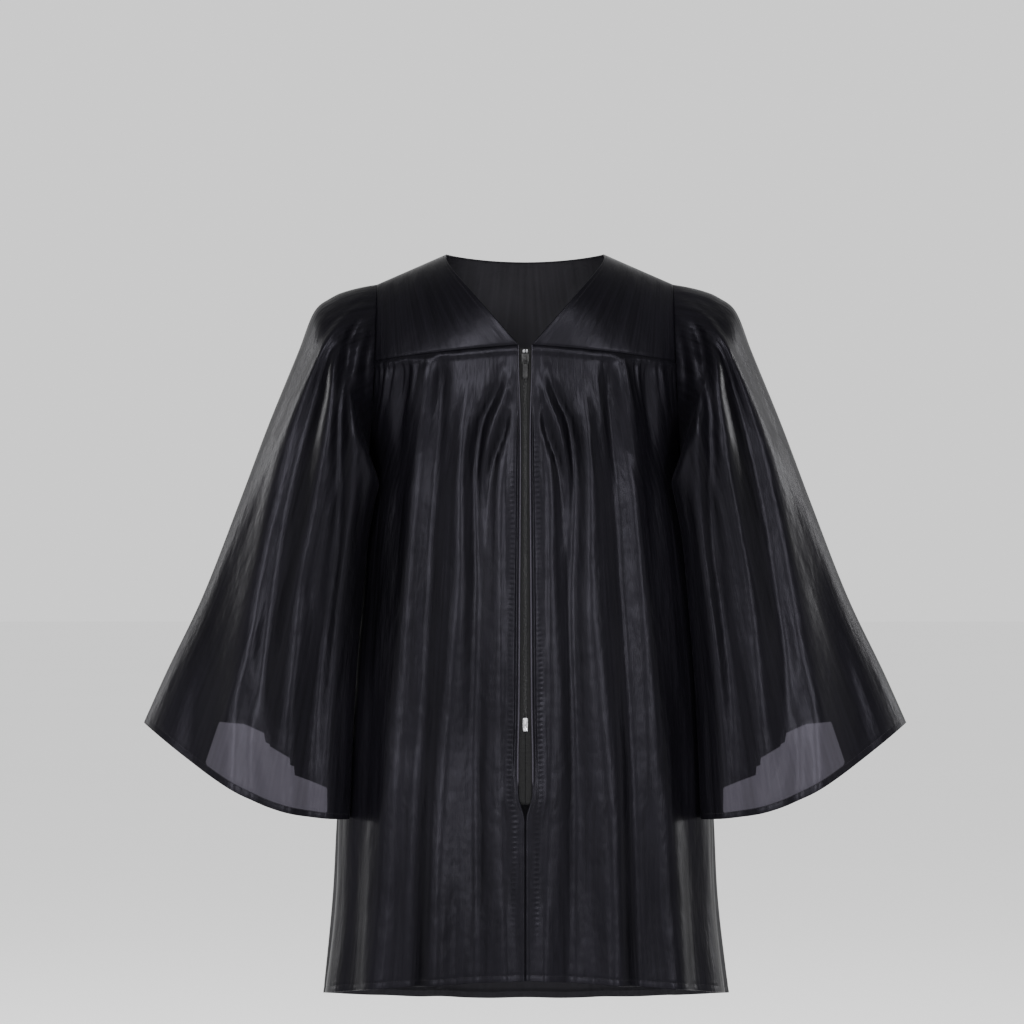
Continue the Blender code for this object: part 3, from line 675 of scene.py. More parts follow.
@dataclass
class Sheet:
    """A sheet of cloth, made as a grid whose points lie where the piece puts them."""

    name: str
    node: str
    flat: tuple[float, float]
    held: Held
    area: float | None = None
    slot: str = "satin"
    wall: float = 1.0 * MM  # at a hem, where the cloth is double; single cloth is half
    length: float = 0.0
    width: float = 0.0
    ring: bool = False
    tucks: tuple[str, ...] = ()  # the edges with a seam allowance that runs on
    tuck_size: tuple[float, float] = (3.0 * MM, 1.7 * MM)  # how far on, how far in

    def columns(self) -> Array:
        """Shares across the sheet."""
        raise NotImplementedError

    def rows(self) -> Array:
        """Shares down the sheet."""
        raise NotImplementedError

    def place(self, across: Array, down: Array) -> Array:
        """The points of the sheet's outer side."""
        raise NotImplementedError

    def outward(self, points: Array) -> Array:
        """Directions that lead away from the hollow."""
        return points * np.array([1.0, 1.0, 0.0])

    def double(self, across: Array, down: Array) -> Array:
        """1 where the cloth is double and 0 elsewhere."""
        return np.zeros_like(across)

    def turned_up(self, down: Array) -> Array:
        """1 along the low edge, where the hem is, and 0 elsewhere."""
        return np.where((1 - down) * self.length < TURNED, 1.0, 0.0)

    def thin(self, across: Array, down: Array, points: Array) -> Array:
        """How far inside the part with painted light a place is, in millimetres; the painted light
        stands in for light through the cloth or for a highlight.
        """
        return np.full_like(across, -10.0)

    def finishes(self) -> tuple[Satin | Weave, Satin | Weave]:
        """The finishes of the outer and the inner side."""
        return SATIN, SATIN_INSIDE

    def tuck(self, points: Array, across: Array, down: Array) -> None:
        """Run the seam allowances on, in under the neighbouring piece, so that no slit is left.

        Args:
            points: The places of the corners, which are changed.
            across: The share across of each corner.
            down: The share down of each corner.
        """
        tiny = 1e-6
        near = 2 * MM  # from the edge to the place that gives its direction
        edges = []
        if "top" in self.tucks:
            edges.append((down < tiny, 0.0, near / self.length))
        if "sides" in self.tucks:
            edges.append((across < tiny, near / self.width, 0.0))
            edges.append((across > 1 - tiny, -near / self.width, 0.0))
        for edge, sideways, lower in edges:
            inner = self.place(across[edge] + sideways, down[edge] + lower)
            onward = points[edge] - inner
            onward /= np.linalg.norm(onward, axis=-1, keepdims=True)
            out = self.outward(points[edge])
            out = out / np.linalg.norm(out, axis=-1, keepdims=True)
            points[edge] += self.tuck_size[0] * onward - self.tuck_size[1] * out

    def build(self, shop: "Shop") -> bpy.types.Object:
        """Args:
            shop: The store of materials.

        Returns:
            The finished piece.
        """
        mesh, across, down = grid_mesh(self.name, self.columns(), self.rows())
        points = self.place(across, down)
        self.tuck(points, across, down)
        mesh.vertices.foreach_set("co", points.ravel())
        self.add_cut(mesh, across, down)
        # Painted light: the mask of where the satin's base colour is painted lighter.
        thin = mesh.attributes.new("thin", "FLOAT", "POINT")
        thin.data.foreach_set("value", self.thin(across, down, points))
        if self.faces_in(mesh):
            mesh.flip_normals()
        item = place_item(self.name, mesh)
        self.add_wall(item, self.double(across, down))
        if self.ring:
            weld(mesh)
        mesh.shade_smooth()
        outer, inner = self.finishes()
        mesh.materials.append(shop.get(outer))
        mesh.materials.append(shop.get(inner))
        self.declare(item)
        return item

    def add_cut(self, mesh: bpy.types.Mesh, across: Array, down: Array) -> None:
        """Write each corner's place in the flat cut, in metres, as the piece's UV map."""
        spots = np.empty(len(mesh.loops), dtype=np.int32)
        mesh.loops.foreach_get("vertex_index", spots)
        cut = np.stack((across * self.flat[0], (1 - down) * self.flat[1]), axis=-1)
        mesh.uv_layers.new(name="cut").uv.foreach_set("vector", cut[spots].ravel())

    def faces_in(self, mesh: bpy.types.Mesh) -> bool:
        """True if the faces look into the hollow."""
        count = len(mesh.polygons)
        centres, normals = np.empty(3 * count), np.empty(3 * count)
        mesh.polygons.foreach_get("center", centres)
        mesh.polygons.foreach_get("normal", normals)
        out = self.outward(centres.reshape(-1, 3))
        return float(np.sum(normals.reshape(-1, 3) * out)) < 0

    def add_wall(self, item: bpy.types.Object, double: Array) -> None:
        """Give the sheet its thickness inside, twice as much where it is double."""
        group = item.vertex_groups.new(name="double")
        for layers, share in ((0.0, 0.5), (1.0, 1.0)):
            group.add(np.flatnonzero(double == layers).tolist(), share, "REPLACE")
        solid = item.modifiers.new("wall", "SOLIDIFY")
        solid.thickness = self.wall
        solid.offset = -1
        solid.vertex_group = "double"
        solid.material_offset = 1
        solid.material_offset_rim = 0

    def declare(self, item: bpy.types.Object) -> None:
        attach(item, "gown")
        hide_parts(self.node)


class Shop:
    """The finishes in use, each made once."""

    def __init__(self) -> None:
        """Start with none."""
        self.made: dict[str, bpy.types.Material] = {}

    def get(self, finish: Satin | Weave | Hard | Plain) -> bpy.types.Material:
        """The material of a finish."""
        if finish.name not in self.made:
            self.made[finish.name] = finish.build()
        return self.made[finish.name]


# Yokes

EDGE_GROOVE = 0.7 * MM  # how deep a seam's edge rolls in
EDGE_GROOVE_WIDTH = 1.3 * MM
NECK_BOW = 9.2 * MM  # how far the V stands out from a straight line near its top


def groove(distance: Array) -> Array:
    """How far the cloth rolls in beside a seam at this distance, in metres."""
    return -EDGE_GROOVE * np.exp(-((distance / EDGE_GROOVE_WIDTH) ** 2))


def lean(angle: Array, face: Face) -> Array:
    """The way in which folds stand out, which turns to the side at the side seam."""
    way = np.stack((np.sin(angle) ** 1.5, face.value * np.cos(angle), 0 * angle), axis=-1)
    return way / np.linalg.norm(way, axis=-1, keepdims=True)


def front_yoke_z(across: Array) -> Array:
    """The height of the front yoke seam, from the middle (0) to the armhole (1)."""
    return blend(FRONT_YOKE_Z[0], FRONT_YOKE_Z[1], across)


@dataclass
class FrontYoke(Sheet):
    """Smooth piece from the shoulder seam to the yoke seam, with one side of the V neck."""

    side: Side = Side.LEFT
    length: float = 130 * MM
    width: float = 142 * MM
    crowding: float = 1.5

    def columns(self) -> Array:
        """Close at the neck edge and at the armhole."""
        return SPACING.shares(self.width, SPACING.hem_steps, SPACING.seam_steps)

    def rows(self) -> Array:
        """Close at the shoulder seam and at the yoke seam."""
        return SPACING.shares(self.length, SPACING.seam_steps, SPACING.seam_steps)

    def double(self, across: Array, down: Array) -> Array:
        """Double along the neck edge, where the facing is."""
        return np.where(across * self.width < TURNED, 1.0, 0.0)

    def place(self, across: Array, down: Array) -> Array:
        """Between the shoulder line and the seam, on the torso's form."""
        step = down**self.crowding
        foot_z = front_yoke_z(across)
        start = TORSO.angle_at(np.asarray(ZIP_OPENING), foot_z)
        foot_angle = blend(start, TORSO.side_angle(foot_z), across)
        foot_x = TORSO.point(foot_angle, foot_z, Face.FRONT)[..., 0]
        top_x = blend(NECK_HALF_WIDTH, ARMHOLE_TOP[0], across)
        x = blend(top_x, foot_x, step)
        z = blend(TORSO.shoulder_height(top_x), foot_z, step)
        side_x = blend(ARMHOLE_TOP[0], TORSO.armhole_x(np.asarray(FRONT_YOKE_Z[1])), step)
        x = x + (TORSO.armhole_x(z) - side_x) * across**8
        bow = NECK_BOW * (1 - step) * (1 - (1 - step) ** 12)
        x = x + bow * (1 - across) ** 3
        point = TORSO.surface(x, z, Face.FRONT)
        push = groove((1 - down) * self.length) + groove((1 - across) * self.width)
        push += groove(down * self.length) + soft_swell(x, z, 5)
        push += edge_roll(across * self.width) - stitch_line(across * self.width, NECK_STITCH)
        point[..., 1] -= push
        point[..., 0] *= self.side.value
        return point


def soft_swell(x: Array, z: Array, seed: int) -> Array:
    """A slow unevenness of the cloth, in metres, that fades towards the shoulder line."""
    draw = np.random.default_rng(seed)
    total = np.zeros_like(x)
    for _ in range(5):
        pitch_x, pitch_z = draw.uniform(12, 40), draw.uniform(10, 30)
        turn = draw.uniform(0, 2 * math.pi)
        total += np.sin(pitch_x * x + pitch_z * z + turn)
    return 0.35 * MM * total * ease(-z / (60 * MM))


def stitch_line(distance: Array, place: float) -> Array:
    """The shallow channel that a row of stitches presses in, in metres."""
    return 0.28 * MM * np.exp(-(((distance - place) / (1.0 * MM)) ** 2))


def edge_roll(distance: Array) -> Array:
    """The soft roll along a folded edge at this distance, in metres."""
    return 0.6 * MM * np.exp(-(((distance - 0.6 * MM) / (0.55 * MM)) ** 2))


@dataclass
class BackYoke(Sheet):
    """One smooth piece across, from the shoulder seams and the back neck edge down."""

    length: float = 150 * MM
    width: float = 330 * MM
    tucks: tuple[str, ...] = ("sides",)
    crowding: float = 1.7

    def columns(self) -> Array:
        """Close at both armholes."""
        return SPACING.shares(self.width, SPACING.seam_steps, SPACING.seam_steps)

    def rows(self) -> Array:
        """Close at the neck and shoulder seams and at the yoke seam."""
        return SPACING.shares(self.length, SPACING.hem_steps, SPACING.seam_steps)

    def double(self, across: Array, down: Array) -> Array:
        """Double along the neck edge, where the facing is."""
        middle = np.abs(2 * across - 1) * ARMHOLE_TOP[0] < NECK_HALF_WIDTH
        return np.where(middle & (down * self.length < TURNED), 1.0, 0.0)

    def place(self, across: Array, down: Array) -> Array:
        """Between the neck and shoulder line and the seam, on the torso's form."""
        share = 2 * across - 1
        far = np.abs(share)
        step = down**self.crowding
        top_x = ARMHOLE_TOP[0] * far
        dip = -BACK_NECK_DIP * (1 - (top_x / NECK_HALF_WIDTH) ** 2)
        top_z = np.where(top_x >= NECK_HALF_WIDTH, TORSO.shoulder_height(top_x), dip)
        seam = np.asarray(BACK_YOKE_Z)
        foot_x = TORSO.point(TORSO.side_angle(seam) * far, seam + 0 * far, Face.BACK)[..., 0]
        x = blend(top_x, foot_x, step)
        z = blend(top_z, BACK_YOKE_Z, step)
        side_x = blend(ARMHOLE_TOP[0], TORSO.armhole_x(seam), step)
        x = x + (TORSO.armhole_x(z) - side_x) * far**8
        point = TORSO.surface(x, z, Face.BACK)
        push = groove((1 - down) * self.length) + groove((1 - far) * self.width / 2)
        shoulder = ease((top_x - NECK_HALF_WIDTH) / (4 * MM))
        push += groove(down * self.length) * shoulder + soft_swell(x * np.sign(share), z, 8)
        point[..., 1] += push
        point[..., 0] *= np.where(share < 0, -1.0, 1.0)
        return point


# Panels

ZIP_EDGE = Table(
    "z half",
    (
        (-95, 6.4),
        (-125, 6.0),
        (-160, 4.6),
        (-200, 4.2),
        (-340, 4.9),
        (-470, 5.8),
        (-505, 6.6),
        (-560, 6.6),
    ),
)


def side_groove(distance: Array, z: Array) -> Array:
    """The set-back at a panel's side edge, which ends just below the arm."""
    return groove(distance) * (1 - ease((z - UNDERARM[1]) / (25 * MM) + 1.4) * (z < -150 * MM))


def seam_puff(distance: Array) -> Array:
    """The roll of gathered cloth just below a yoke seam, in metres."""
    return 1.1 * MM * np.exp(-(((distance - 5 * MM) / (3.2 * MM)) ** 2))


FRONT_FOLDS = (
    Fold("beside_zip", (
        (-112, 22, 5, 0), (-130, 27, 5.5, -1.6), (-148, 33, 6.5, -4.8), (-171, 43.5, 7.5, -6.5),
        (-205, 49, 8.5, -7), (-250, 50.5, 10, -6.5), (-350, 47.5, 12, -6), (-516, 51, 14, -6.5),
        (-760, 48, 18, -7),
    )),
    Fold("inner_crease", (
        (-160, 18, 4.5, 0), (-181, 22, 5, -4), (-213, 33, 6, -5.5), (-241, 37, 7, -4.5),
        (-320, 36, 8, -2), (-420, 36, 9, 0),
    ), 1.9),
    Fold("arc_ridge", (
        (-118, 16, 6, 0), (-142, 20, 6, 2.6), (-180, 34, 6.5, 3.4), (-213, 42, 6, 2.6),
        (-260, 44, 6, 0),
    )),
    Fold("zip_roll", (
        (-200, 24, 5, 0), (-260, 26, 6, 1.6), (-400, 25, 7, 1.2), (-560, 24, 9, 1.8),
        (-760, 18, 10, 2.5),
    )),
    Fold("first_ridge", (
        (-130, 56, 8, 0), (-165, 62, 9, 3.5), (-205, 64, 10, 5), (-350, 68, 14, 4.5),
        (-560, 86, 18, 5.5), (-760, 92, 21, 8.5),
    )),
    Fold("second_valley", (
        (-102, 80, 6, 0), (-130, 84, 8, -4.5), (-200, 90, 11, -5.5), (-450, 106, 14, -5.5),
        (-620, 113, 17, -7), (-760, 118, 19, -8.5),
    )),
    Fold("second_ridge", (
        (-104, 96, 7, 0), (-122, 99, 9, 4), (-160, 103, 12, 4), (-350, 118, 15, 4),
        (-600, 142, 17, 5.5), (-760, 152, 19, 8.5),
    )),
    Fold("gather_out", (
        (-108, 120, 7, 0), (-124, 123, 8, -3.5), (-220, 130, 10, -2.5), (-320, 134, 12, 0),
    )),
    Fold("side_valley", ((-400, 150, 10, 0), (-600, 168, 13, -4.5), (-760, 180, 15, -6.5))),
    Fold("hem_nip", ((-560, 70, 9, 0), (-680, 71, 10, -2), (-760, 70, 12, -3.5))),
)


@dataclass
class Skirt(Sheet):
    """A long panel that is gathered into a yoke and hangs to the hem."""

    length: float = 645 * MM
    seeds: tuple[int, int, int] = (1, 2, 3)
    count: int = 16
    smooth: float = 0.0  # the share across, from the first edge, with no gathers

    def rows(self) -> Array:
        """Close at the yoke seam and at the hem."""
        return SPACING.shares(self.length, SPACING.seam_steps, SPACING.hem_steps)

    def double(self, across: Array, down: Array) -> Array:
        """Double along the hem, where the cloth is turned up."""
        return self.turned_up(down)

    def small_folds(self, share: Array, down: Array, width: Array) -> Array:
        """The gathers under the yoke and the small folds below them, in metres."""
        drop = down * self.length
        first, second, third = self.seeds
        short = Gathers(
            first, self.count, (-2 * MM, 3 * MM), (30 * MM, 120 * MM), (3.2 * MM, 5.5 * MM),
            (0.7 * MM, 1.9 * MM),
        )
        long = Gathers(
            second, self.count, (0.0, 0.25), (0.16, 0.42), (5 * MM, 9 * MM), (0.35 * MM, 1.1 * MM)
        )
        low = Gathers(
            third, self.count // 2, (0.3, 0.42), (0.3, 0.5), (7 * MM, 13 * MM),
            (0.5 * MM, 1.6 * MM),
        )
        gathered = ease((share - self.smooth) / 0.12) if self.smooth else 1.0
        gathers = short.push(share, drop, width) * gathered
        return gathers + sum(folds.push(share, drop, width) for folds in (long, low))


@dataclass
class FrontPanel(Skirt):
    """Front panel from the yoke seam to the hem, with the folded edge beside the zip."""

    side: Side = Side.LEFT
    width: float = 215 * MM
    edge_pitch: float = 0.45 * MM
    edge_steps: int = 26
    row_pitch: float = 1.7 * MM
    # Places and widths are on the flat panel, which hangs 1.8 times as wide here.
    # Each has its place, its depth or height, and its width.
    channel: tuple[float, float, float] = (1.9 * MM, 1.5 * MM, 0.55 * MM)
    serging: tuple[float, float, float] = (4.6 * MM, 0.8 * MM, 1.1 * MM)
    serging_pitch: float = 5.1 * MM
    serging_sway: float = 0.3 * MM
    ledge: tuple[float, float, float] = (8.2 * MM, 0.3 * MM, 0.4 * MM)
    turned_in: float = 8.5 * MM  # how far the cloth is double beside the folded edge
    # The folded edge's light is a painted highlight of this width.
    fine_line: float = 0.5 * MM  # how wide the folded edge catches the light

    def columns(self) -> Array:
        """Close beside the zip and at the side seam."""
        steps = tuple(self.edge_pitch * i for i in range(self.edge_steps))
        return SPACING.shares(self.width, steps, SPACING.seam_steps)

    def rows(self) -> Array:
        """Close enough together for the stitches that press through beside the zip."""
        spacing = Spacing(pitch=self.row_pitch)
        return spacing.shares(self.length, spacing.seam_steps, spacing.hem_steps)

    def double(self, across: Array, down: Array) -> Array:
        """Double along the hem and beside the zip, where the cloth is turned in."""
        return np.where(across * self.width < self.turned_in, 1.0, super().double(across, down))

    def thin(self, across: Array, down: Array, points: Array) -> Array:
        """Painted highlight along the folded edge, a fine line where the fold catches the light.
        """
        # Painted highlight: a narrow band beside the fold, which ends near the foot of the zip's
        # opening.
        inside = np.where(across * self.width < self.fine_line, 0.6, -1.2)
        return np.minimum(inside, (points[:, 2] / MM + 535) / 8)

    def beside_zip(self, away: Array, z: Array) -> Array:
        """The roll, the channel and the serging that show beside the zip.

        Args:
            away: The distance from the folded edge.
            z: The height.

        Returns:
            The push at each place, in metres.
        """
        low = ease((z + 700 * MM) / (60 * MM))
        ends = ease((-150 * MM - z) / (40 * MM)) * ease((z + 550 * MM) / (50 * MM))
        place, depth, width = self.channel
        push = edge_roll(away)
        push -= depth * np.exp(-(((away - place) / width) ** 2)) * ends
        place, depth, width = self.serging
        sway = self.serging_sway * np.sin(43 * z + self.side.value)
        bead = 0.5 + 0.5 * np.cos(2 * math.pi * z / self.serging_pitch + 0.6 * np.sin(61 * z))
        uneven = 0.65 + 0.35 * np.sin(29 * z + 2 * self.side.value)
        band = np.exp(-(((away - place - sway) / width) ** 2)) * ease((-165 * MM - z) / (50 * MM))
        push += depth * band * low * (0.35 - bead * uneven)
        place, height, width = self.ledge
        return push + height / (1 + np.exp((away - place - sway) / width))

    def place(self, across: Array, down: Array) -> Array:
        """On the torso's form, pushed out and in by the folds."""
        hem_z = blend(FRONT_HEM_Z, SIDE_HEM_Z, across)
        z = blend(front_yoke_z(across), hem_z, down)
        share = ease((z - CENTRE_SEAM_TOP_Z) / (ZIP_OPENING_END_Z - CENTRE_SEAM_TOP_Z))
        edge = blend(HAIR, ZIP_EDGE.read("half", z / MM) * MM, share)
        angle = TORSO.column_angle(TORSO.angle_at(edge, z), across, z)
        point = TORSO.point(angle, z, Face.FRONT)
        push = main_rise(FRONT_FOLDS, point[..., 0], z) * ease((1 - across) * 5)
        hold = ease((1 - across) * 12) * ease(across * 18)
        push += self.small_folds(across, down, self.width + 0 * across) * hold
        push += soft_swell(point[..., 0] * self.side.value, z, 11) * hold
        push += groove(down * self.length) + side_groove((1 - across) * self.width, z)
        push += groove(across * self.width) * (1 - share)
        push += self.beside_zip(across * self.width, z) + seam_puff(down * self.length)
        push -= stitch_line((1 - down) * self.length, HEM_STITCH)
        point += lean(angle, Face.FRONT) * push[..., None]
        point[..., 1] -= HAIR
        point[..., 0] *= self.side.value
        return point


@dataclass
class BackPanel(Skirt):
    """Wide back panel, fluted below its yoke."""

    width: float = 480 * MM
    tucks: tuple[str, ...] = ("top", "sides")
    flutes: int = 9
    rise: tuple[float, float] = (4.0 * MM, 7.0 * MM)
    fade: float = 60 * MM
    wander: float = 0.012

    def columns(self) -> Array:
        """Close at both side seams."""
        return SPACING.shares(self.width, SPACING.seam_steps, SPACING.seam_steps)

    def flute(self, share: Array, z: Array) -> Array:
        """The flutes, which fade in below the yoke and widen downwards, in metres."""
        far = np.abs(share)
        down = (BACK_YOKE_Z - z) / (BACK_YOKE_Z - BACK_HEM_Z)
        height = blend(self.rise[0], self.rise[1], down)
        at = far + self.wander * np.sin(9 * down + 4 * far)
        wave = np.cos(math.pi * self.flutes * at)
        crisp = wave + 0.16 * np.cos(2 * math.pi * self.flutes * at)
        uneven = 0.75 + 0.25 * np.sin(7 * share + 2.1) + 0.12 * np.sin(17 * share)
        calm = ease((1 - far) * 7)
        return height * crisp * uneven * calm * ease((BACK_YOKE_Z - z) / self.fade)

    def place(self, across: Array, down: Array) -> Array:
        """On the torso's form, pushed out and in by the flutes."""
        share = 2 * across - 1
        far = np.abs(share)
        z = blend(BACK_YOKE_Z, blend(BACK_HEM_Z, SIDE_HEM_Z, far**1.5), down)
        angle = TORSO.column_angle(np.zeros_like(far), far, z)
        point = TORSO.point(angle, z, Face.BACK)
        hold = ease((1 - far) * 16)
        push = self.flute(share, z)
        push += self.small_folds(across, down, self.width + 0 * across) * hold
        push += soft_swell(point[..., 0] * np.sign(share), z, 21) * hold
        push += groove(down * self.length) + side_groove((1 - far) * self.width / 2, z)
        push += seam_puff(down * self.length) - stitch_line((1 - down) * self.length, HEM_STITCH)
        point += lean(angle, Face.BACK) * push[..., None]
        point[..., 1] += HAIR
        point[..., 0] *= np.where(share < 0, -1.0, 1.0)
        return point


# Sleeves

SLEEVE_LEVELS = Table(
    "t outer_x outer_z inner_z front back",
    (
        (0.00, 151, -31, -205, 58, 58),
        (0.06, 178, -36, -211, 62, 62),
        (0.12, 198, -45, -218, 62, 66),
        (0.18, 214, -58, -227, 60, 69),
        (0.26, 230, -98, -245, 57, 68),
        (0.40, 261, -174, -300, 53, 62),
        (0.55, 290, -251, -367, 51, 57),
        (0.75, 330, -353, -455, 51, 55),
        (0.90, 366, -428, -530, 53, 55),
        (1.00, 388, -477, -573, 55, 58),
    ),
)

SLEEVE_FRONT_FOLDS = (
    Fold("outer_ridge", (
        (-40, 160, 8, 0), (-66, 184, 9, 6), (-96, 203, 11, 8.5), (-182, 240, 13, 7.5),
        (-312, 268, 15, 6.5), (-475, 296, 19, 7.5),
    )),
    Fold("outer_valley", (
        (-80, 186, 8, 0), (-104, 198, 9, -6), (-157, 213, 10, -7.5), (-271, 240, 12, -5.5),
        (-434, 266, 14, -5.5), (-520, 274, 16, -4),
    )),
    Fold("middle_ridge", (
        (-84, 184, 7, 0), (-108, 192, 8, 5.5), (-150, 196, 9, 6.5), (-239, 209, 12, 6.5),
        (-353, 228, 14, 6.5), (-500, 240, 18, 6.5),
    )),
    Fold("inner_valley", (
        (-58, 164, 7, 0), (-90, 177, 7, -5.5), (-130, 183, 8, -6.5), (-271, 189, 9, -5.5),
        (-434, 208, 12, -4.5), (-540, 216, 14, -3),
    )),
    Fold("inner_ridge", (
        (-60, 158, 6, 0), (-96, 166, 7, 4), (-130, 171, 8, 4.5), (-230, 172, 8, 4.5),
        (-414, 192, 9, 4), (-560, 200, 11, 3),
    )),
    Fold("outer_dent", (
        (-240, 288, 12, 0), (-330, 300, 15, -2.5), (-430, 326, 18, -3.5), (-500, 338, 20, -4.5),
    )),
    Fold("cuff_ridge", ((-300, 252, 8, 0), (-420, 272, 9, 1.8), (-540, 262, 12, 3))),
    Fold("head_tuck", (
        (-40, 158, 4, 0), (-52, 172, 4.5, -3.2), (-76, 196, 5.5, -3.4), (-130, 226, 7, -2.2),
        (-190, 252, 9, 0),
    )),
    Fold("head_roll", (
        (-46, 154, 4, 0), (-62, 168, 5, 2.6), (-92, 190, 6, 2.2), (-140, 206, 7, 0),
    )),
    Fold("low_tuck", (
        (-80, 154, 4, 0), (-100, 160, 4.5, -2.8), (-150, 164, 5.5, -2.6), (-215, 168, 7, 0),
    )),
)

SLEEVE_BACK_FOLDS = (
    Fold("outer_ridge", (
        (-40, 160, 8, 0), (-72, 188, 10, 6), (-100, 208, 12, 7.5), (-200, 248, 14, 6.5),
        (-330, 280, 16, 6.5), (-475, 308, 19, 7.5),
    )),
    Fold("outer_valley", (
        (-78, 186, 8, 0), (-106, 203, 9, -5.5), (-160, 220, 11, -6.5), (-290, 248, 13, -5.5),
        (-450, 276, 15, -5.5),
    )),
    Fold("middle_ridge", (
        (-76, 174, 7, 0), (-108, 191, 8, 5), (-150, 200, 10, 5.5), (-250, 216, 12, 6.5),
        (-370, 238, 14, 5.5), (-520, 250, 18, 6.5),
    )),
    Fold("inner_valley", (
        (-68, 162, 7, 0), (-100, 175, 8, -5), (-130, 182, 8, -5.5), (-280, 194, 10, -5),
        (-440, 212, 12, -4),
    )),
    Fold("head_tuck", (
        (-40, 158, 4, 0), (-54, 170, 4.5, -3.2), (-80, 192, 5.5, -3.2), (-140, 222, 7, 0),
    )),
    Fold("low_tuck", ((-84, 154, 4, 0), (-108, 162, 5, -2.8), (-160, 170, 6, 0))),
)


# The edge of the back layer behind the front cuff, where the painted light of the single front
# layer begins, as distance out and height, both in millimetres.
PAINTED_LIGHT_TOP = (
    (199.0, -540.0), (233.4, -526.0), (233.8, -511.0), (259.8, -496.0), (260.2, -486.0),
    (282.5, -476.0), (308.0, -474.0),
)
PAINTED_LIGHT_LEAN = 0.34  # how far its outer end leans out, as a share of the way down


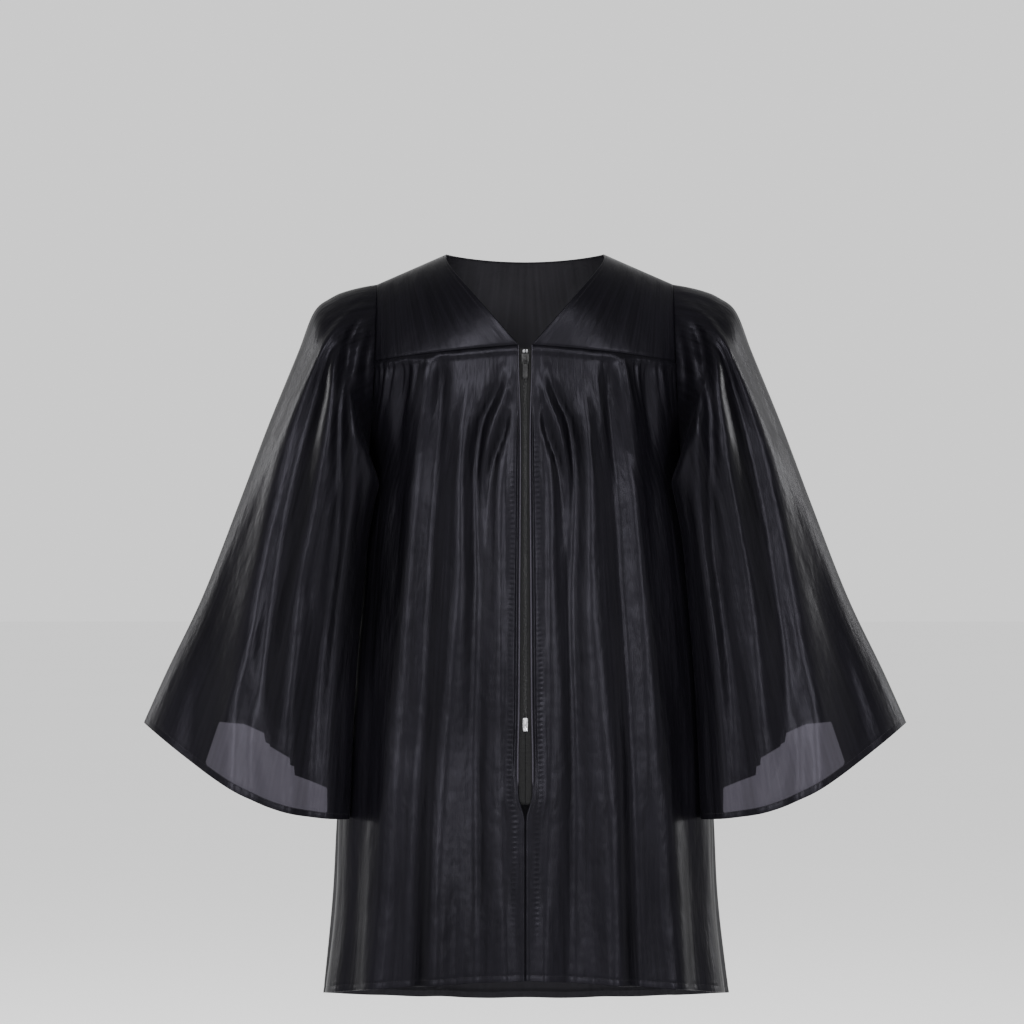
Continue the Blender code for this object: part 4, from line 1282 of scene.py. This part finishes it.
@dataclass
class Sleeve(Sheet):
    """Wide bell sleeve, pleated into the armhole, open at the cuff."""

    side: Side = Side.LEFT
    around: float = 430 * MM
    length: float = 520 * MM
    clearance: float = 1.3 * MM  # from the body's side to the sleeve beside it
    fade: float = 12 * MM  # above the underarm, where that begins
    lap: float = 6.5 * MM  # of the sleeve's edge over the body's side, below the arm
    hem_shade: float = 7.0  # millimetres of hem, which is dark
    axis: Rows = ((154.5, 0.0, -118.0), (273.0, 0.0, -525.0))  # its ends, in millimetres
    forward_inner: float = 60 * MM
    forward_outer: float = 14 * MM
    cuff_drop: float = 24 * MM
    cuff_rise: float = 26 * MM
    powers: tuple[float, float] = (2.3, 1.7)
    hang_t: float = 0.40
    tucks: tuple[str, ...] = ("top",)
    forward_t: float = 0.24
    clear_t: float = 0.2
    join_t: float = 0.10
    calm_t: float = 0.08
    ring: bool = True

    def columns(self) -> Array:
        """Evenly round the sleeve."""
        return np.linspace(0.0, 1.0, round(self.around / SPACING.pitch) + 1)

    def rows(self) -> Array:
        """Close at the armhole and at the cuff's hem."""
        return SPACING.shares(self.length, SPACING.seam_steps, SPACING.hem_steps)

    def double(self, across: Array, down: Array) -> Array:
        """Double along the cuff, where the cloth is turned up."""
        return self.turned_up(down)

    def thin(self, across: Array, down: Array, points: Array) -> Array:
        """Painted light below the higher back cuff, where the front is the only layer; it stands
        in for light through the cloth.
        """
        x, z = np.abs(points[:, 0]) / MM, points[:, 2] / MM
        top = np.interp(x, *np.array(PAINTED_LIGHT_TOP).T)
        (inner_x, _), (end_x, end_z) = PAINTED_LIGHT_TOP[0], PAINTED_LIGHT_TOP[-1]
        outer = end_x + PAINTED_LIGHT_LEAN * (end_z - z)
        hem = (1 - down) * self.length / MM - self.hem_shade
        # Painted light: a lighter patch of the front cuff, bounded by the back layer's edge, the
        # outer slant, the inner end and the hem.
        inside = np.minimum(np.minimum(top - z, outer - x), np.minimum(x - inner_x, hem))
        return np.where(across <= 0.5, np.clip(inside, -10, 10), -10.0)

    def outward(self, points: Array) -> Array:
        """Away from the line down the middle of the sleeve."""
        top, low = np.array(self.axis) * MM * (self.side.value, 1.0, 1.0)
        along = (low - top) / np.linalg.norm(low - top)
        away = points - top
        return away - (away @ along)[:, None] * along

    def size(self, name: str, t: Array) -> Array:
        """A size of the section, in metres."""
        return SLEEVE_LEVELS.read(name, t) * MM

    def bulge(self, t: Array, angle: Array) -> Array:
        """The share of the section's depth at an angle."""
        power = blend(self.powers[0], self.powers[1], ease(t / self.hang_t))
        return np.abs(np.sin(angle)) ** (2 / power)

    def ends(self, t: Array) -> tuple[Array, Array]:
        """The outer and the inner point of the section, just clear of the body's side.

        Args:
            t: Shares down the sleeve.

        Returns:
            Two arrays of points.
        """
        forward = ease(t / self.forward_t)
        outer = np.stack(
            (self.size("outer_x", t), -self.forward_outer * forward, self.size("outer_z", t)), -1
        )
        inner_y, inner_z = -self.forward_inner * forward, self.size("inner_z", t)
        clear = SEAM_GAP + self.clearance * ease(t / self.clear_t)
        own = nearest = TORSO.side_reach(inner_y, inner_z) + clear
        for name, face in (("front", -1), ("back", 1)):
            for degrees in range(7, 84, 7):
                angle = math.radians(degrees)
                across = (1 - math.cos(angle)) / 2
                y = blend(inner_y, outer[:, 1], across)
                y = y + face * self.size(name, t) * self.bulge(t, np.asarray(angle))
                z = np.minimum(blend(inner_z, outer[:, 2], across), UNDERARM[1])
                needed = TORSO.side_reach(y, z) + clear - outer[:, 0] * across
                inside = np.abs(y) < TORSO.size(name, z)
                nearest = np.where(inside, np.maximum(nearest, needed / (1 - across)), nearest)
        lap = self.lap * ease(t / self.clear_t * 8) * ease((self.hang_t - t) * 5)
        nearest = np.maximum(own, nearest - lap)
        return outer, np.stack((nearest, inner_y, inner_z), -1)

    def armhole(self, turn: Array, face: Array) -> Array:
        """Points of the armhole: the turn is 0 at the top and 0.25 at the front."""
        middle = (ARMHOLE_TOP[1] + UNDERARM[1]) / 2
        reach = (ARMHOLE_TOP[1] - UNDERARM[1]) / 2
        z = middle + reach * np.cos(2 * math.pi * turn)
        angle = TORSO.side_angle(z)
        front = TORSO.point(angle, z, Face.FRONT)[:, 1]
        back = TORSO.point(angle, z, Face.BACK)[:, 1]
        y = np.where(face < 0, front, back)
        return np.stack((TORSO.armhole_x(z), y, z), -1)

    def place(self, across: Array, down: Array) -> Array:
        """Sections from the armhole to the cuff, with pleats, ridges and valleys."""
        turn, t = across % 1.0, down
        levels, where = np.unique(t, return_inverse=True)
        outer, inner = (end[where] for end in self.ends(levels))
        face = np.where(turn <= 0.5, -1.0, 1.0)
        angle = 2 * math.pi * turn
        share = (1 - np.cos(angle)) / 2
        depth = np.where(face < 0, self.size("front", t), self.size("back", t))
        point = blend(outer, inner, share[:, None])
        point[:, 1] += face * depth * self.bulge(t, angle)
        ring = self.armhole(turn, face)
        point = blend(ring, point, ease(t / self.join_t)[:, None])
        drop = -self.cuff_drop * np.sin(math.pi * share**1.1)
        rise = self.cuff_rise * np.sin(math.pi * share**1.4) ** 2
        point[:, 2] += np.where(face < 0, drop, rise) * t**3
        width = np.linalg.norm(outer - inner, axis=1)
        front, back = (
            main_rise(folds, point[:, 0], point[:, 2]) + self.small(seed, share, t, width)
            for folds, seed in ((SLEEVE_FRONT_FOLDS, 71), (SLEEVE_BACK_FOLDS, 83))
        )
        push = np.where(face < 0, front, back)
        hold = ease(t / self.calm_t) * ease(share * 12) * ease((1 - share) * 12)
        push = push * hold + soft_swell(point[:, 0] * self.side.value, point[:, 2], 31) * hold
        push += groove(t * self.length) - stitch_line((1 - t) * self.length, HEM_STITCH)
        point[:, 1] += face * push
        clear = SEAM_GAP + self.clearance * ease(t / self.clear_t)
        needed = TORSO.side_reach(point[:, 1], np.minimum(point[:, 2], UNDERARM[1])) + clear
        below = ease((UNDERARM[1] + self.fade - point[:, 2]) / self.fade)
        beside = np.abs(point[:, 1]) < TORSO.size("front", point[:, 2])
        aside = np.where(beside, np.maximum(needed - point[:, 0], 0.0), 0.0)
        point[:, 0] += aside * below
        point[:, 0] *= self.side.value
        return point

    def small(self, seed: int, share: Array, t: Array, width: Array) -> Array:
        """The pleats at the armhole and the small folds below them, in metres."""
        drop = t * self.length
        seed += self.side.value
        pleats = Gathers(
            seed, 13, (2 * MM, 16 * MM), (50 * MM, 150 * MM), (3.5 * MM, 6 * MM),
            (0.8 * MM, 2.2 * MM),
        )
        long = Gathers(
            seed + 5, 11, (0.04, 0.22), (0.16, 0.4), (5 * MM, 9 * MM), (0.4 * MM, 1.3 * MM)
        )
        low = Gathers(
            seed + 9, 7, (0.22, 0.34), (0.25, 0.4), (7 * MM, 14 * MM), (0.5 * MM, 1.8 * MM)
        )
        return sum(folds.push(share, drop, width) for folds in (pleats, long, low))


# The zip

TAPE_TOP_Z = -98 * MM
TAPE_END_Z = -556 * MM
TAPE_INSET = 2.1 * MM  # behind the panels' outer face
COIL_TOP_Z = -104 * MM
COIL_END_Z = -469.3 * MM
COIL_INSET = 1.15 * MM  # the middle of the coil
SLIDER_Z = -109 * MM
PLATE_FRONT_Y = -94.421 * MM  # the front of the slider's plate
TAB_AXIS = (0.0, -95.421 * MM, -109.75 * MM)
FLANGE_END = 1.8 * MM  # behind the panels' outer face
BOTTOM_STOP_Z = -476 * MM
TOP_STOP_Z = -101.2 * MM
TOP_STOP_X = 1.4 * MM


def front_face_y(z: Array | float) -> Array:
    """Where the panels' outer face is at the middle."""
    z = np.asarray(z, dtype=float)
    return TORSO.point(np.zeros_like(z), z, Face.FRONT)[..., 1]


@dataclass
class ZipTape(Sheet):
    """Woven tape on one side of the zip, behind the panel's folded edge."""

    side: Side = Side.LEFT
    width: float = 13 * MM
    length: float = 458 * MM
    steps: int = 18
    cord: float = 0.25 * MM  # how far the woven cords stand proud
    cords: Rows = ((11.8 * MM, 0.8 * MM), (3.2 * MM, 0.7 * MM))  # their places and widths

    def columns(self) -> Array:
        """Evenly across, closely enough for the cords."""
        return np.linspace(0.0, 1.0, self.steps + 1)

    def rows(self) -> Array:
        """Evenly down."""
        return np.linspace(0.0, 1.0, round(self.length / SPACING.pitch) + 1)

    def double(self, across: Array, down: Array) -> Array:
        """As thick all over."""
        return np.ones_like(across)

    def outward(self, points: Array) -> Array:
        """To the front."""
        return np.broadcast_to((0.0, -1.0, 0.0), points.shape)

    def finishes(self) -> tuple[Weave, Weave]:
        """Both sides are alike."""
        return TAPE, TAPE

    def place(self, across: Array, down: Array) -> Array:
        """From the middle outwards, on the line of the closed front."""
        z = blend(TAPE_TOP_Z, TAPE_END_Z, down)
        x = blend(0.15 * MM, self.width, across)
        proud = sum(np.exp(-(((x - at) / wide) ** 2)) for at, wide in self.cords)
        y = front_face_y(z) + TAPE_INSET - self.cord * proud
        return np.stack((self.side.value * x, y, z), -1)


@dataclass
class Swarm:
    """Many copies of one small rounded form in one piece."""

    name: str
    slot: str
    finish: Weave | Hard
    half: tuple[float, float, float]  # half the form's length, depth and height
    facets: tuple[int, int]
    node: str | None = None

    def frames(self) -> list[Matrix]:
        """The place and turn of each copy, whose length lies along its own X."""
        raise NotImplementedError

    def build(self, shop: Shop) -> bpy.types.Object:
        """Make the copies as one piece.

        Args:
            shop: The store of materials.

        Returns:
            The finished piece.
        """
        bm = bmesh.new()
        around, along = self.facets
        shape = Matrix.Diagonal((*self.half, 1.0)) @ Matrix.Rotation(math.pi / 2, 4, "Y")
        bmesh.ops.create_uvsphere(
            bm, u_segments=around, v_segments=along, radius=1.0, matrix=shape
        )
        single = take_mesh(bm, "single")
        count = len(single.vertices)
        at = np.empty(3 * count)
        single.vertices.foreach_get("co", at)
        frames = self.frames()
        bm = bmesh.new()
        for _ in frames:
            bm.from_mesh(single)
        mesh = take_mesh(bm, self.name)
        bpy.data.meshes.remove(single)
        turns = np.array([[list(row) for row in frame] for frame in frames])
        local = np.concatenate((at.reshape(-1, 3), np.ones((count, 1))), axis=1)
        points = np.einsum("fij,nj->fni", turns, local)[..., :3]
        mesh.vertices.foreach_set("co", points.ravel())
        mesh.shade_smooth()
        mesh.materials.append(shop.get(self.finish))
        item = place_item(self.name, mesh)
        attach(item, "gown")
        if self.node:
            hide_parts(self.node)
        return item


@dataclass
class Coil(Swarm):
    """The closed coil: two rows of nylon loops that hook into each other."""

    pitch: float = 1.3 * MM
    centre: float = 0.86 * MM  # of a loop, from the middle
    slant: float = 0.16

    def frames(self) -> list[Matrix]:
        """Loops from the left and the right in turn."""
        made = []
        count = int((COIL_TOP_Z - COIL_END_Z) / self.pitch * 2) - 1
        for i in range(count):
            side = 1 if i % 2 else -1
            z = COIL_TOP_Z - self.pitch / 2 * (i + 1)
            y = float(front_face_y(z)) + COIL_INSET
            place = Matrix.Translation((side * self.centre, y, z))
            made.append(place @ Matrix.Rotation(side * self.slant, 4, "Y"))
        return made


@dataclass
class Seam(Swarm):
    """A row of stitches on a sheet, along a line of shares across and down."""

    sheet: Sheet | None = None
    start: tuple[float, float] = (0.0, 0.0)
    end: tuple[float, float] = (0.0, 1.0)
    pitch: float = 2.6 * MM
    lift: float = 0.04 * MM
    samples: int = 1500  # of the line, to measure its length

    def frames(self) -> list[Matrix]:
        """Stitches along the line, lying on the sheet's outer side."""
        steps = np.linspace(0.0, 1.0, self.samples)
        across = blend(self.start[0], self.end[0], steps)
        down = blend(self.start[1], self.end[1], steps)
        line = self.sheet.place(across, down)
        bits = np.linalg.norm(np.diff(line, axis=0), axis=1)
        length = np.concatenate(((0.0,), np.cumsum(bits)))
        count = int(length[-1] / self.pitch)
        share = np.interp((np.arange(count) + 0.5) * self.pitch, length, steps)
        across = blend(self.start[0], self.end[0], share)
        down = blend(self.start[1], self.end[1], share)
        step_across, step_down = self.end[0] - self.start[0], self.end[1] - self.start[1]
        tiny = 0.4 * MM / length[-1]
        here = self.sheet.place(across, down)
        along = self.sheet.place(across + step_across * tiny, down + step_down * tiny) - here
        over = self.sheet.place(across - step_down * tiny, down + step_across * tiny) - here
        along /= np.linalg.norm(along, axis=1, keepdims=True)
        normal = np.cross(along, over)
        normal /= np.linalg.norm(normal, axis=1, keepdims=True)
        normal *= np.sign(np.sum(normal * self.sheet.outward(here), axis=1, keepdims=True))
        side = np.cross(normal, along)
        made = []
        for at, x, y, z in zip(here, along, side, normal):
            turn = Matrix((x, y, z)).transposed().to_4x4()
            made.append(Matrix.Translation(at + z * self.lift) @ turn)
        return made


@dataclass(frozen=True)
class Outline:
    """A rounded rectangle, in millimetres; a larger power makes sharper corners."""

    centre: tuple[float, float]
    half: tuple[float, float]
    power: float = 7.0
    taper: float = 0.0  # how much narrower the low end is, as a share

    def at(self, turn: Array) -> Array:
        """Its points at shares of a turn."""
        cos, sin = np.cos(2 * math.pi * turn), np.sin(2 * math.pi * turn)
        across = np.sign(cos) * np.abs(cos) ** (2 / self.power)
        up = np.sign(sin) * np.abs(sin) ** (2 / self.power)
        across = across * (1 - self.taper * (1 - up) / 2)
        return np.stack(
            (self.centre[0] + self.half[0] * across, self.centre[1] + self.half[1] * up), -1
        )


MIDDLE = Outline((0.0, 0.0), (0.02, 0.02))  # where a plate without a hole closes


@dataclass(frozen=True)
class Plate:
    """A plate or a ring between two outlines, in millimetres from its own origin.

    The section is a closed loop of points, each a share of the way from the outer to the
    inner outline and a depth.
    """

    outer: Outline
    inner: Outline
    section: Rows
    upright: bool = True  # its outlines lie across X; otherwise across Y
    around: int = 56

    def mesh(self, name: str) -> bpy.types.Mesh:
        """The plate as a closed mesh."""
        turns = np.linspace(0.0, 1.0, self.around + 1)
        rings = np.linspace(0.0, 1.0, len(self.section) + 1)
        mesh, turn, ring = grid_mesh(name, turns, rings)
        section = np.array((*self.section, self.section[0]))
        share, depth = section[np.rint(ring * len(self.section)).astype(int)].T
        turn = turn % 1.0
        flat = blend(self.outer.at(turn), self.inner.at(turn), share[:, None])
        first, second = (flat[:, 0], depth) if self.upright else (depth, flat[:, 0])
        points = np.stack((first, second, flat[:, 1]), -1) * MM
        mesh.vertices.foreach_set("co", points.ravel())
        weld(mesh)
        return mesh


@dataclass
class Hardware:
    """A hard piece of the zip, joined from plates about one origin."""

    name: str
    node: str
    slot: str
    finish: Hard
    origin: tuple[float, float, float]
    plates: tuple[Plate, ...]
    body: str = "gown"
    sharp: float = math.radians(38)

    def build(self, shop: Shop) -> bpy.types.Object:
        """Make the piece.

        Args:
            shop: The store of materials.

        Returns:
            The finished piece.
        """
        bm = bmesh.new()
        for i, plate in enumerate(self.plates):
            part = plate.mesh(f"{self.name}_{i}")
            bm.from_mesh(part)
            bpy.data.meshes.remove(part)
        bmesh.ops.translate(bm, vec=self.origin, verts=bm.verts)
        bmesh.ops.recalc_face_normals(bm, faces=bm.faces)
        mesh = take_mesh(bm, self.name)
        mesh.shade_smooth()
        mesh.set_sharp_from_angle(angle=self.sharp)
        mesh.materials.append(shop.get(self.finish))
        item = place_item(self.name, mesh)
        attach(item, self.body)
        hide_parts(self.node)
        return item


def slab(half: float, edge: float, inset: float = 0.08) -> Rows:
    """The section of a plate whose edges are rounded; half is half its thickness."""
    return (
        (0.0, edge - half), (inset / 2, edge * 0.3 - half), (inset, -half), (1.0, -half),
        (1.0, half), (inset, half), (inset / 2, half - edge * 0.3), (0.0, half - edge),
    )


def rimmed(half: float, edge: float, rim: float, sunk: float) -> Rows:
    """The section of a plate with a raised rim round its front."""
    return (
        (0.0, edge - half), (0.04, -half), (rim, -half), (rim + 0.06, sunk - half),
        (1.0, sunk - half), (1.0, half), (0.04, half), (0.0, half - edge),
    )


def slider() -> Hardware:
    """The slider: a plate, its two flanges and the bail that holds the tab."""
    face = tuple((share, depth + 0.7) for share, depth in slab(0.7, 0.3))
    plates = [Plate(Outline((0.0, 0.0), (4.2, 5.5), 4.5, 0.14), MIDDLE, face)]
    back = float(FLANGE_END + front_face_y(SLIDER_Z - 5.5 * MM) - PLATE_FRONT_Y) / MM
    flange = ((0.0, 1.0), (1.0, 1.0), (1.0, back), (0.0, back))
    for centre in ((-3.2, 0.0), (3.2, 0.0)):
        plates.append(Plate(Outline(centre, (0.7, 5.0)), Outline(centre, (0.02, 0.02)), flange))
    bail = (
        (0.0, -0.65), (0.1, -1.0), (0.9, -1.0), (1.0, -0.7), (1.0, 0.7), (0.9, 1.0), (0.1, 1.0),
        (0.0, 0.65),
    )
    ring = Outline((-1.35, 0.0), (1.85, 2.8), 3.6), Outline((-1.0, 0.0), (1.0, 1.6), 5.0)
    plates.append(Plate(*ring, bail, upright=False))
    return Hardware(
        "zip_slider_body", "zip_slider", "zip_metal", LACQUER, (0.0, PLATE_FRONT_Y, SLIDER_Z),
        tuple(plates),
    )


def pull_tab() -> Hardware:
    """The pull tab: a sunk plate with a hole that hangs on the bail."""
    face = (
        (0.0, -0.2), (0.05, -0.5), (0.16, -0.5), (0.24, -0.3), (0.8, -0.3), (0.88, -0.5),
        (0.97, -0.5), (1.0, -0.3), (1.0, 0.3), (0.97, 0.5), (0.05, 0.5), (0.0, 0.2),
    )
    ring = Outline((0.0, -9.5), (2.6, 10.0), 5.5), Outline((0.0, -2.7), (1.5, 2.2), 5.0)
    return Hardware(
        "zip_pull_tab_plate", "zip_pull_tab", "zip_metal", LACQUER, TAB_AXIS,
        (Plate(*ring, face),), "pull_tab",
    )


def zip_pieces() -> list[ZipTape | Coil | Hardware]:
    """The tapes, the coil, the slider, the pull tab and the stops."""
    made: list[ZipTape | Coil | Hardware] = []
    for side in Side:
        made.append(
            ZipTape(
                f"zip_tape_{side.word}_weave", f"zip_tape_{side.word}", (0.013, 0.458),
                Held.STRETCHED, slot="zip_tape", wall=0.8 * MM, side=side,
            )
        )
    loop = (1.36 * MM, 0.62 * MM, 0.34 * MM)
    made.append(Coil("zip_coil_loops", "zip_coil", COIL, loop, (8, 6), "zip_coil"))
    made += [slider(), pull_tab()]
    stop_y = float(front_face_y(BOTTOM_STOP_Z - 7 * MM)) + 0.8 * MM
    clip = Plate(Outline((0.0, 0.0), (2.6, 7.0), 6.0), MIDDLE, rimmed(1.0, 0.45, 0.24, 0.3))
    made.append(
        Hardware(
            "zip_bottom_stop_clip", "zip_bottom_stop", "zip_steel", STEEL,
            (0.0, stop_y, BOTTOM_STOP_Z), (clip,),
        )
    )
    top_y = float(front_face_y(TOP_STOP_Z)) + 0.5 * MM
    clip = Plate(Outline((0.0, 0.0), (1.1, 1.7), 5.0), MIDDLE, rimmed(0.7, 0.25, 0.3, 0.15))
    for side in Side:
        made.append(
            Hardware(
                f"zip_top_stop_{side.word}_clip", f"zip_top_stop_{side.word}", "zip_steel",
                DULL_STEEL, (side.value * TOP_STOP_X, top_y, TOP_STOP_Z), (clip,),
            )
        )
    return made


def seams() -> list[Seam]:
    """The rows of stitches that show on the cloth."""
    named = {sheet.name: sheet for sheet in sheets()}
    made: list[Seam] = []

    def add(name: str, sheet: Sheet, start: tuple[float, float], end: tuple[float, float]) -> None:
        """Add one row of stitches."""
        half = (1.05 * MM, 0.17 * MM, 0.15 * MM)
        made.append(Seam(name, "satin", THREAD, half, (6, 4), sheet=sheet, start=start, end=end))

    for side in Side:
        word = side.word
        yoke = named[f"front_yoke_{word}_cloth"]
        neck = NECK_STITCH / yoke.width
        add(f"neck_stitches_{word}", yoke, (neck, 0.03), (neck, 0.97))
        panel = named[f"front_panel_{word}_cloth"]
        beside = panel.channel[0] / panel.width
        add(f"zip_stitches_{word}", panel, (beside, 0.012), (beside, 0.735))
        hem = 1 - HEM_STITCH / panel.length
        add(f"hem_stitches_{word}", panel, (0.01, hem), (0.985, hem))
        sleeve = named[f"sleeve_{word}_cloth"]
        cuff = 1 - HEM_STITCH / sleeve.length
        add(f"cuff_stitches_{word}", sleeve, (0.0, cuff), (0.9995, cuff))
    back = named["back_panel_cloth"]
    hem = 1 - HEM_STITCH / back.length
    add("hem_stitches_back", back, (0.01, hem), (0.99, hem))
    yoke = named["back_yoke_cloth"]
    neck = NECK_STITCH / yoke.length
    add("neck_stitches_back", yoke, (0.25, neck), (0.75, neck))
    return made


# The studio


@dataclass(frozen=True)
class Panel:
    """A light panel: its place, its width and height, and its power in watts."""

    name: str
    at: tuple[float, float, float]
    size: tuple[float, float]
    power: float


PANELS = (
    Panel("key_panel", (-1.3, -4.4, 0.9), (0.36, 2.0), 420.0),
    Panel("right_panel", (2.0, -4.1, 0.7), (0.35, 2.0), 310.0),
    Panel("top_panel", (0.4, -3.2, 2.3), (1.6, 0.5), 130.0),
    Panel("left_panel", (-3.1, -3.2, 0.5), (0.35, 1.8), 85.0),
    Panel("far_left_panel", (-4.4, -0.9, 0.2), (0.6, 1.8), 22.0),
    Panel("far_right_panel", (4.4, -0.9, 0.2), (0.6, 1.8), 20.0),
    Panel("back_right_panel", (-4.0, 2.5, 0.6), (0.6, 2.0), 90.0),
    Panel("back_left_panel", (4.1, 2.3, 0.5), (0.6, 2.0), 110.0),
)


@dataclass
class Studio:
    """Floor, light and the camera at the photograph's viewing angle."""

    camera_at: tuple[float, float, float] = (-0.0133, -6.0, -0.263)
    frame_width: float = 1.0445
    sensor: float = 36.0
    floor_z: float = -1.12  # where the wearer would stand
    floor_half: float = 40.0
    gown_middle: tuple[float, float, float] = (0.0, 0.0, -0.4)
    surroundings: float = 1.15  # how strong the white surroundings are

    def build(self, shop: Shop) -> None:
        """Make everything that isn't part of the gown."""
        self.add_camera()
        self.add_floor(shop)
        self.add_world()
        for panel in PANELS:
            self.add_light(panel)

    def add_camera(self) -> None:
        """A level camera whose view is as wide as the photograph's."""
        data = bpy.data.cameras.new("camera")
        data.sensor_width = self.sensor
        data.lens = self.sensor * -self.camera_at[1] / self.frame_width
        data.clip_end = 100.0
        item = place_item("camera", data)
        item.location = self.camera_at
        item.rotation_euler = (math.pi / 2, 0.0, 0.0)
        bpy.context.scene.camera = item

    def add_floor(self, shop: Shop) -> None:
        """A wide pale floor."""
        bm = bmesh.new()
        bmesh.ops.create_grid(bm, x_segments=4, y_segments=4, size=self.floor_half)
        bmesh.ops.translate(bm, vec=(0.0, 0.0, self.floor_z), verts=bm.verts)
        mesh = take_mesh(bm, "floor")
        mesh.materials.append(shop.get(FLOOR))
        place_item("floor", mesh)

    def add_world(self) -> None:
        """Even white surroundings."""
        world = bpy.data.worlds.new("surroundings")
        world.use_nodes = True
        shade = world.node_tree.nodes["Background"]
        shade.inputs["Color"].default_value = (1.0, 1.0, 1.0, 1.0)
        shade.inputs["Strength"].default_value = self.surroundings
        bpy.context.scene.world = world

    def add_light(self, panel: Panel) -> None:
        """A soft panel that looks at the gown's middle."""
        data = bpy.data.lights.new(panel.name, "AREA")
        data.shape = "RECTANGLE"
        data.size, data.size_y = panel.size
        data.energy = panel.power
        item = place_item(panel.name, data)
        item.location = panel.at
        aim = Vector(self.gown_middle) - Vector(panel.at)
        item.rotation_euler = aim.to_track_quat("-Z", "Y").to_euler()


# The gown


def sheets() -> list[Sheet]:
    """Every sheet of the gown, from the yokes down."""
    made: list[Sheet] = []
    for side in Side:
        word = side.word
        made.append(
            FrontYoke(
                f"front_yoke_{word}_cloth", f"front_yoke_{word}", (0.150, 0.125), Held.DRAPED,
                area=0.0145, side=side,
            )
        )
        made.append(
            FrontPanel(
                f"front_panel_{word}_cloth", f"front_panel_{word}", (0.270, 0.650), Held.GATHERED,
                area=0.156, side=side, seeds=(4 + side.value, 14 + side.value, 24 + side.value),
                smooth=0.32,
            )
        )
        made.append(
            Sleeve(
                f"sleeve_{word}_cloth", f"sleeve_{word}", (0.540, 0.530), Held.GATHERED,
                area=0.215, side=side,
            )
        )
    made.append(
        BackYoke("back_yoke_cloth", "back_yoke", (0.340, 0.150), Held.DRAPED, area=0.046)
    )
    made.append(
        BackPanel(
            "back_panel_cloth", "back_panel", (0.600, 0.655), Held.GATHERED, area=0.345,
            seeds=(41, 42, 43), count=34,
        )
    )
    return made


def main() -> None:
    """Load the frame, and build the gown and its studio."""
    logging.basicConfig(level=logging.INFO, format="%(name)s: %(message)s")
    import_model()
    shop = Shop()
    Studio().build(shop)
    for piece in (*sheets(), *zip_pieces(), *seams()):
        item = piece.build(shop)
        LOG.info("%s: %d points", item.name, len(item.data.vertices))


if __name__ == "__main__":
    main()
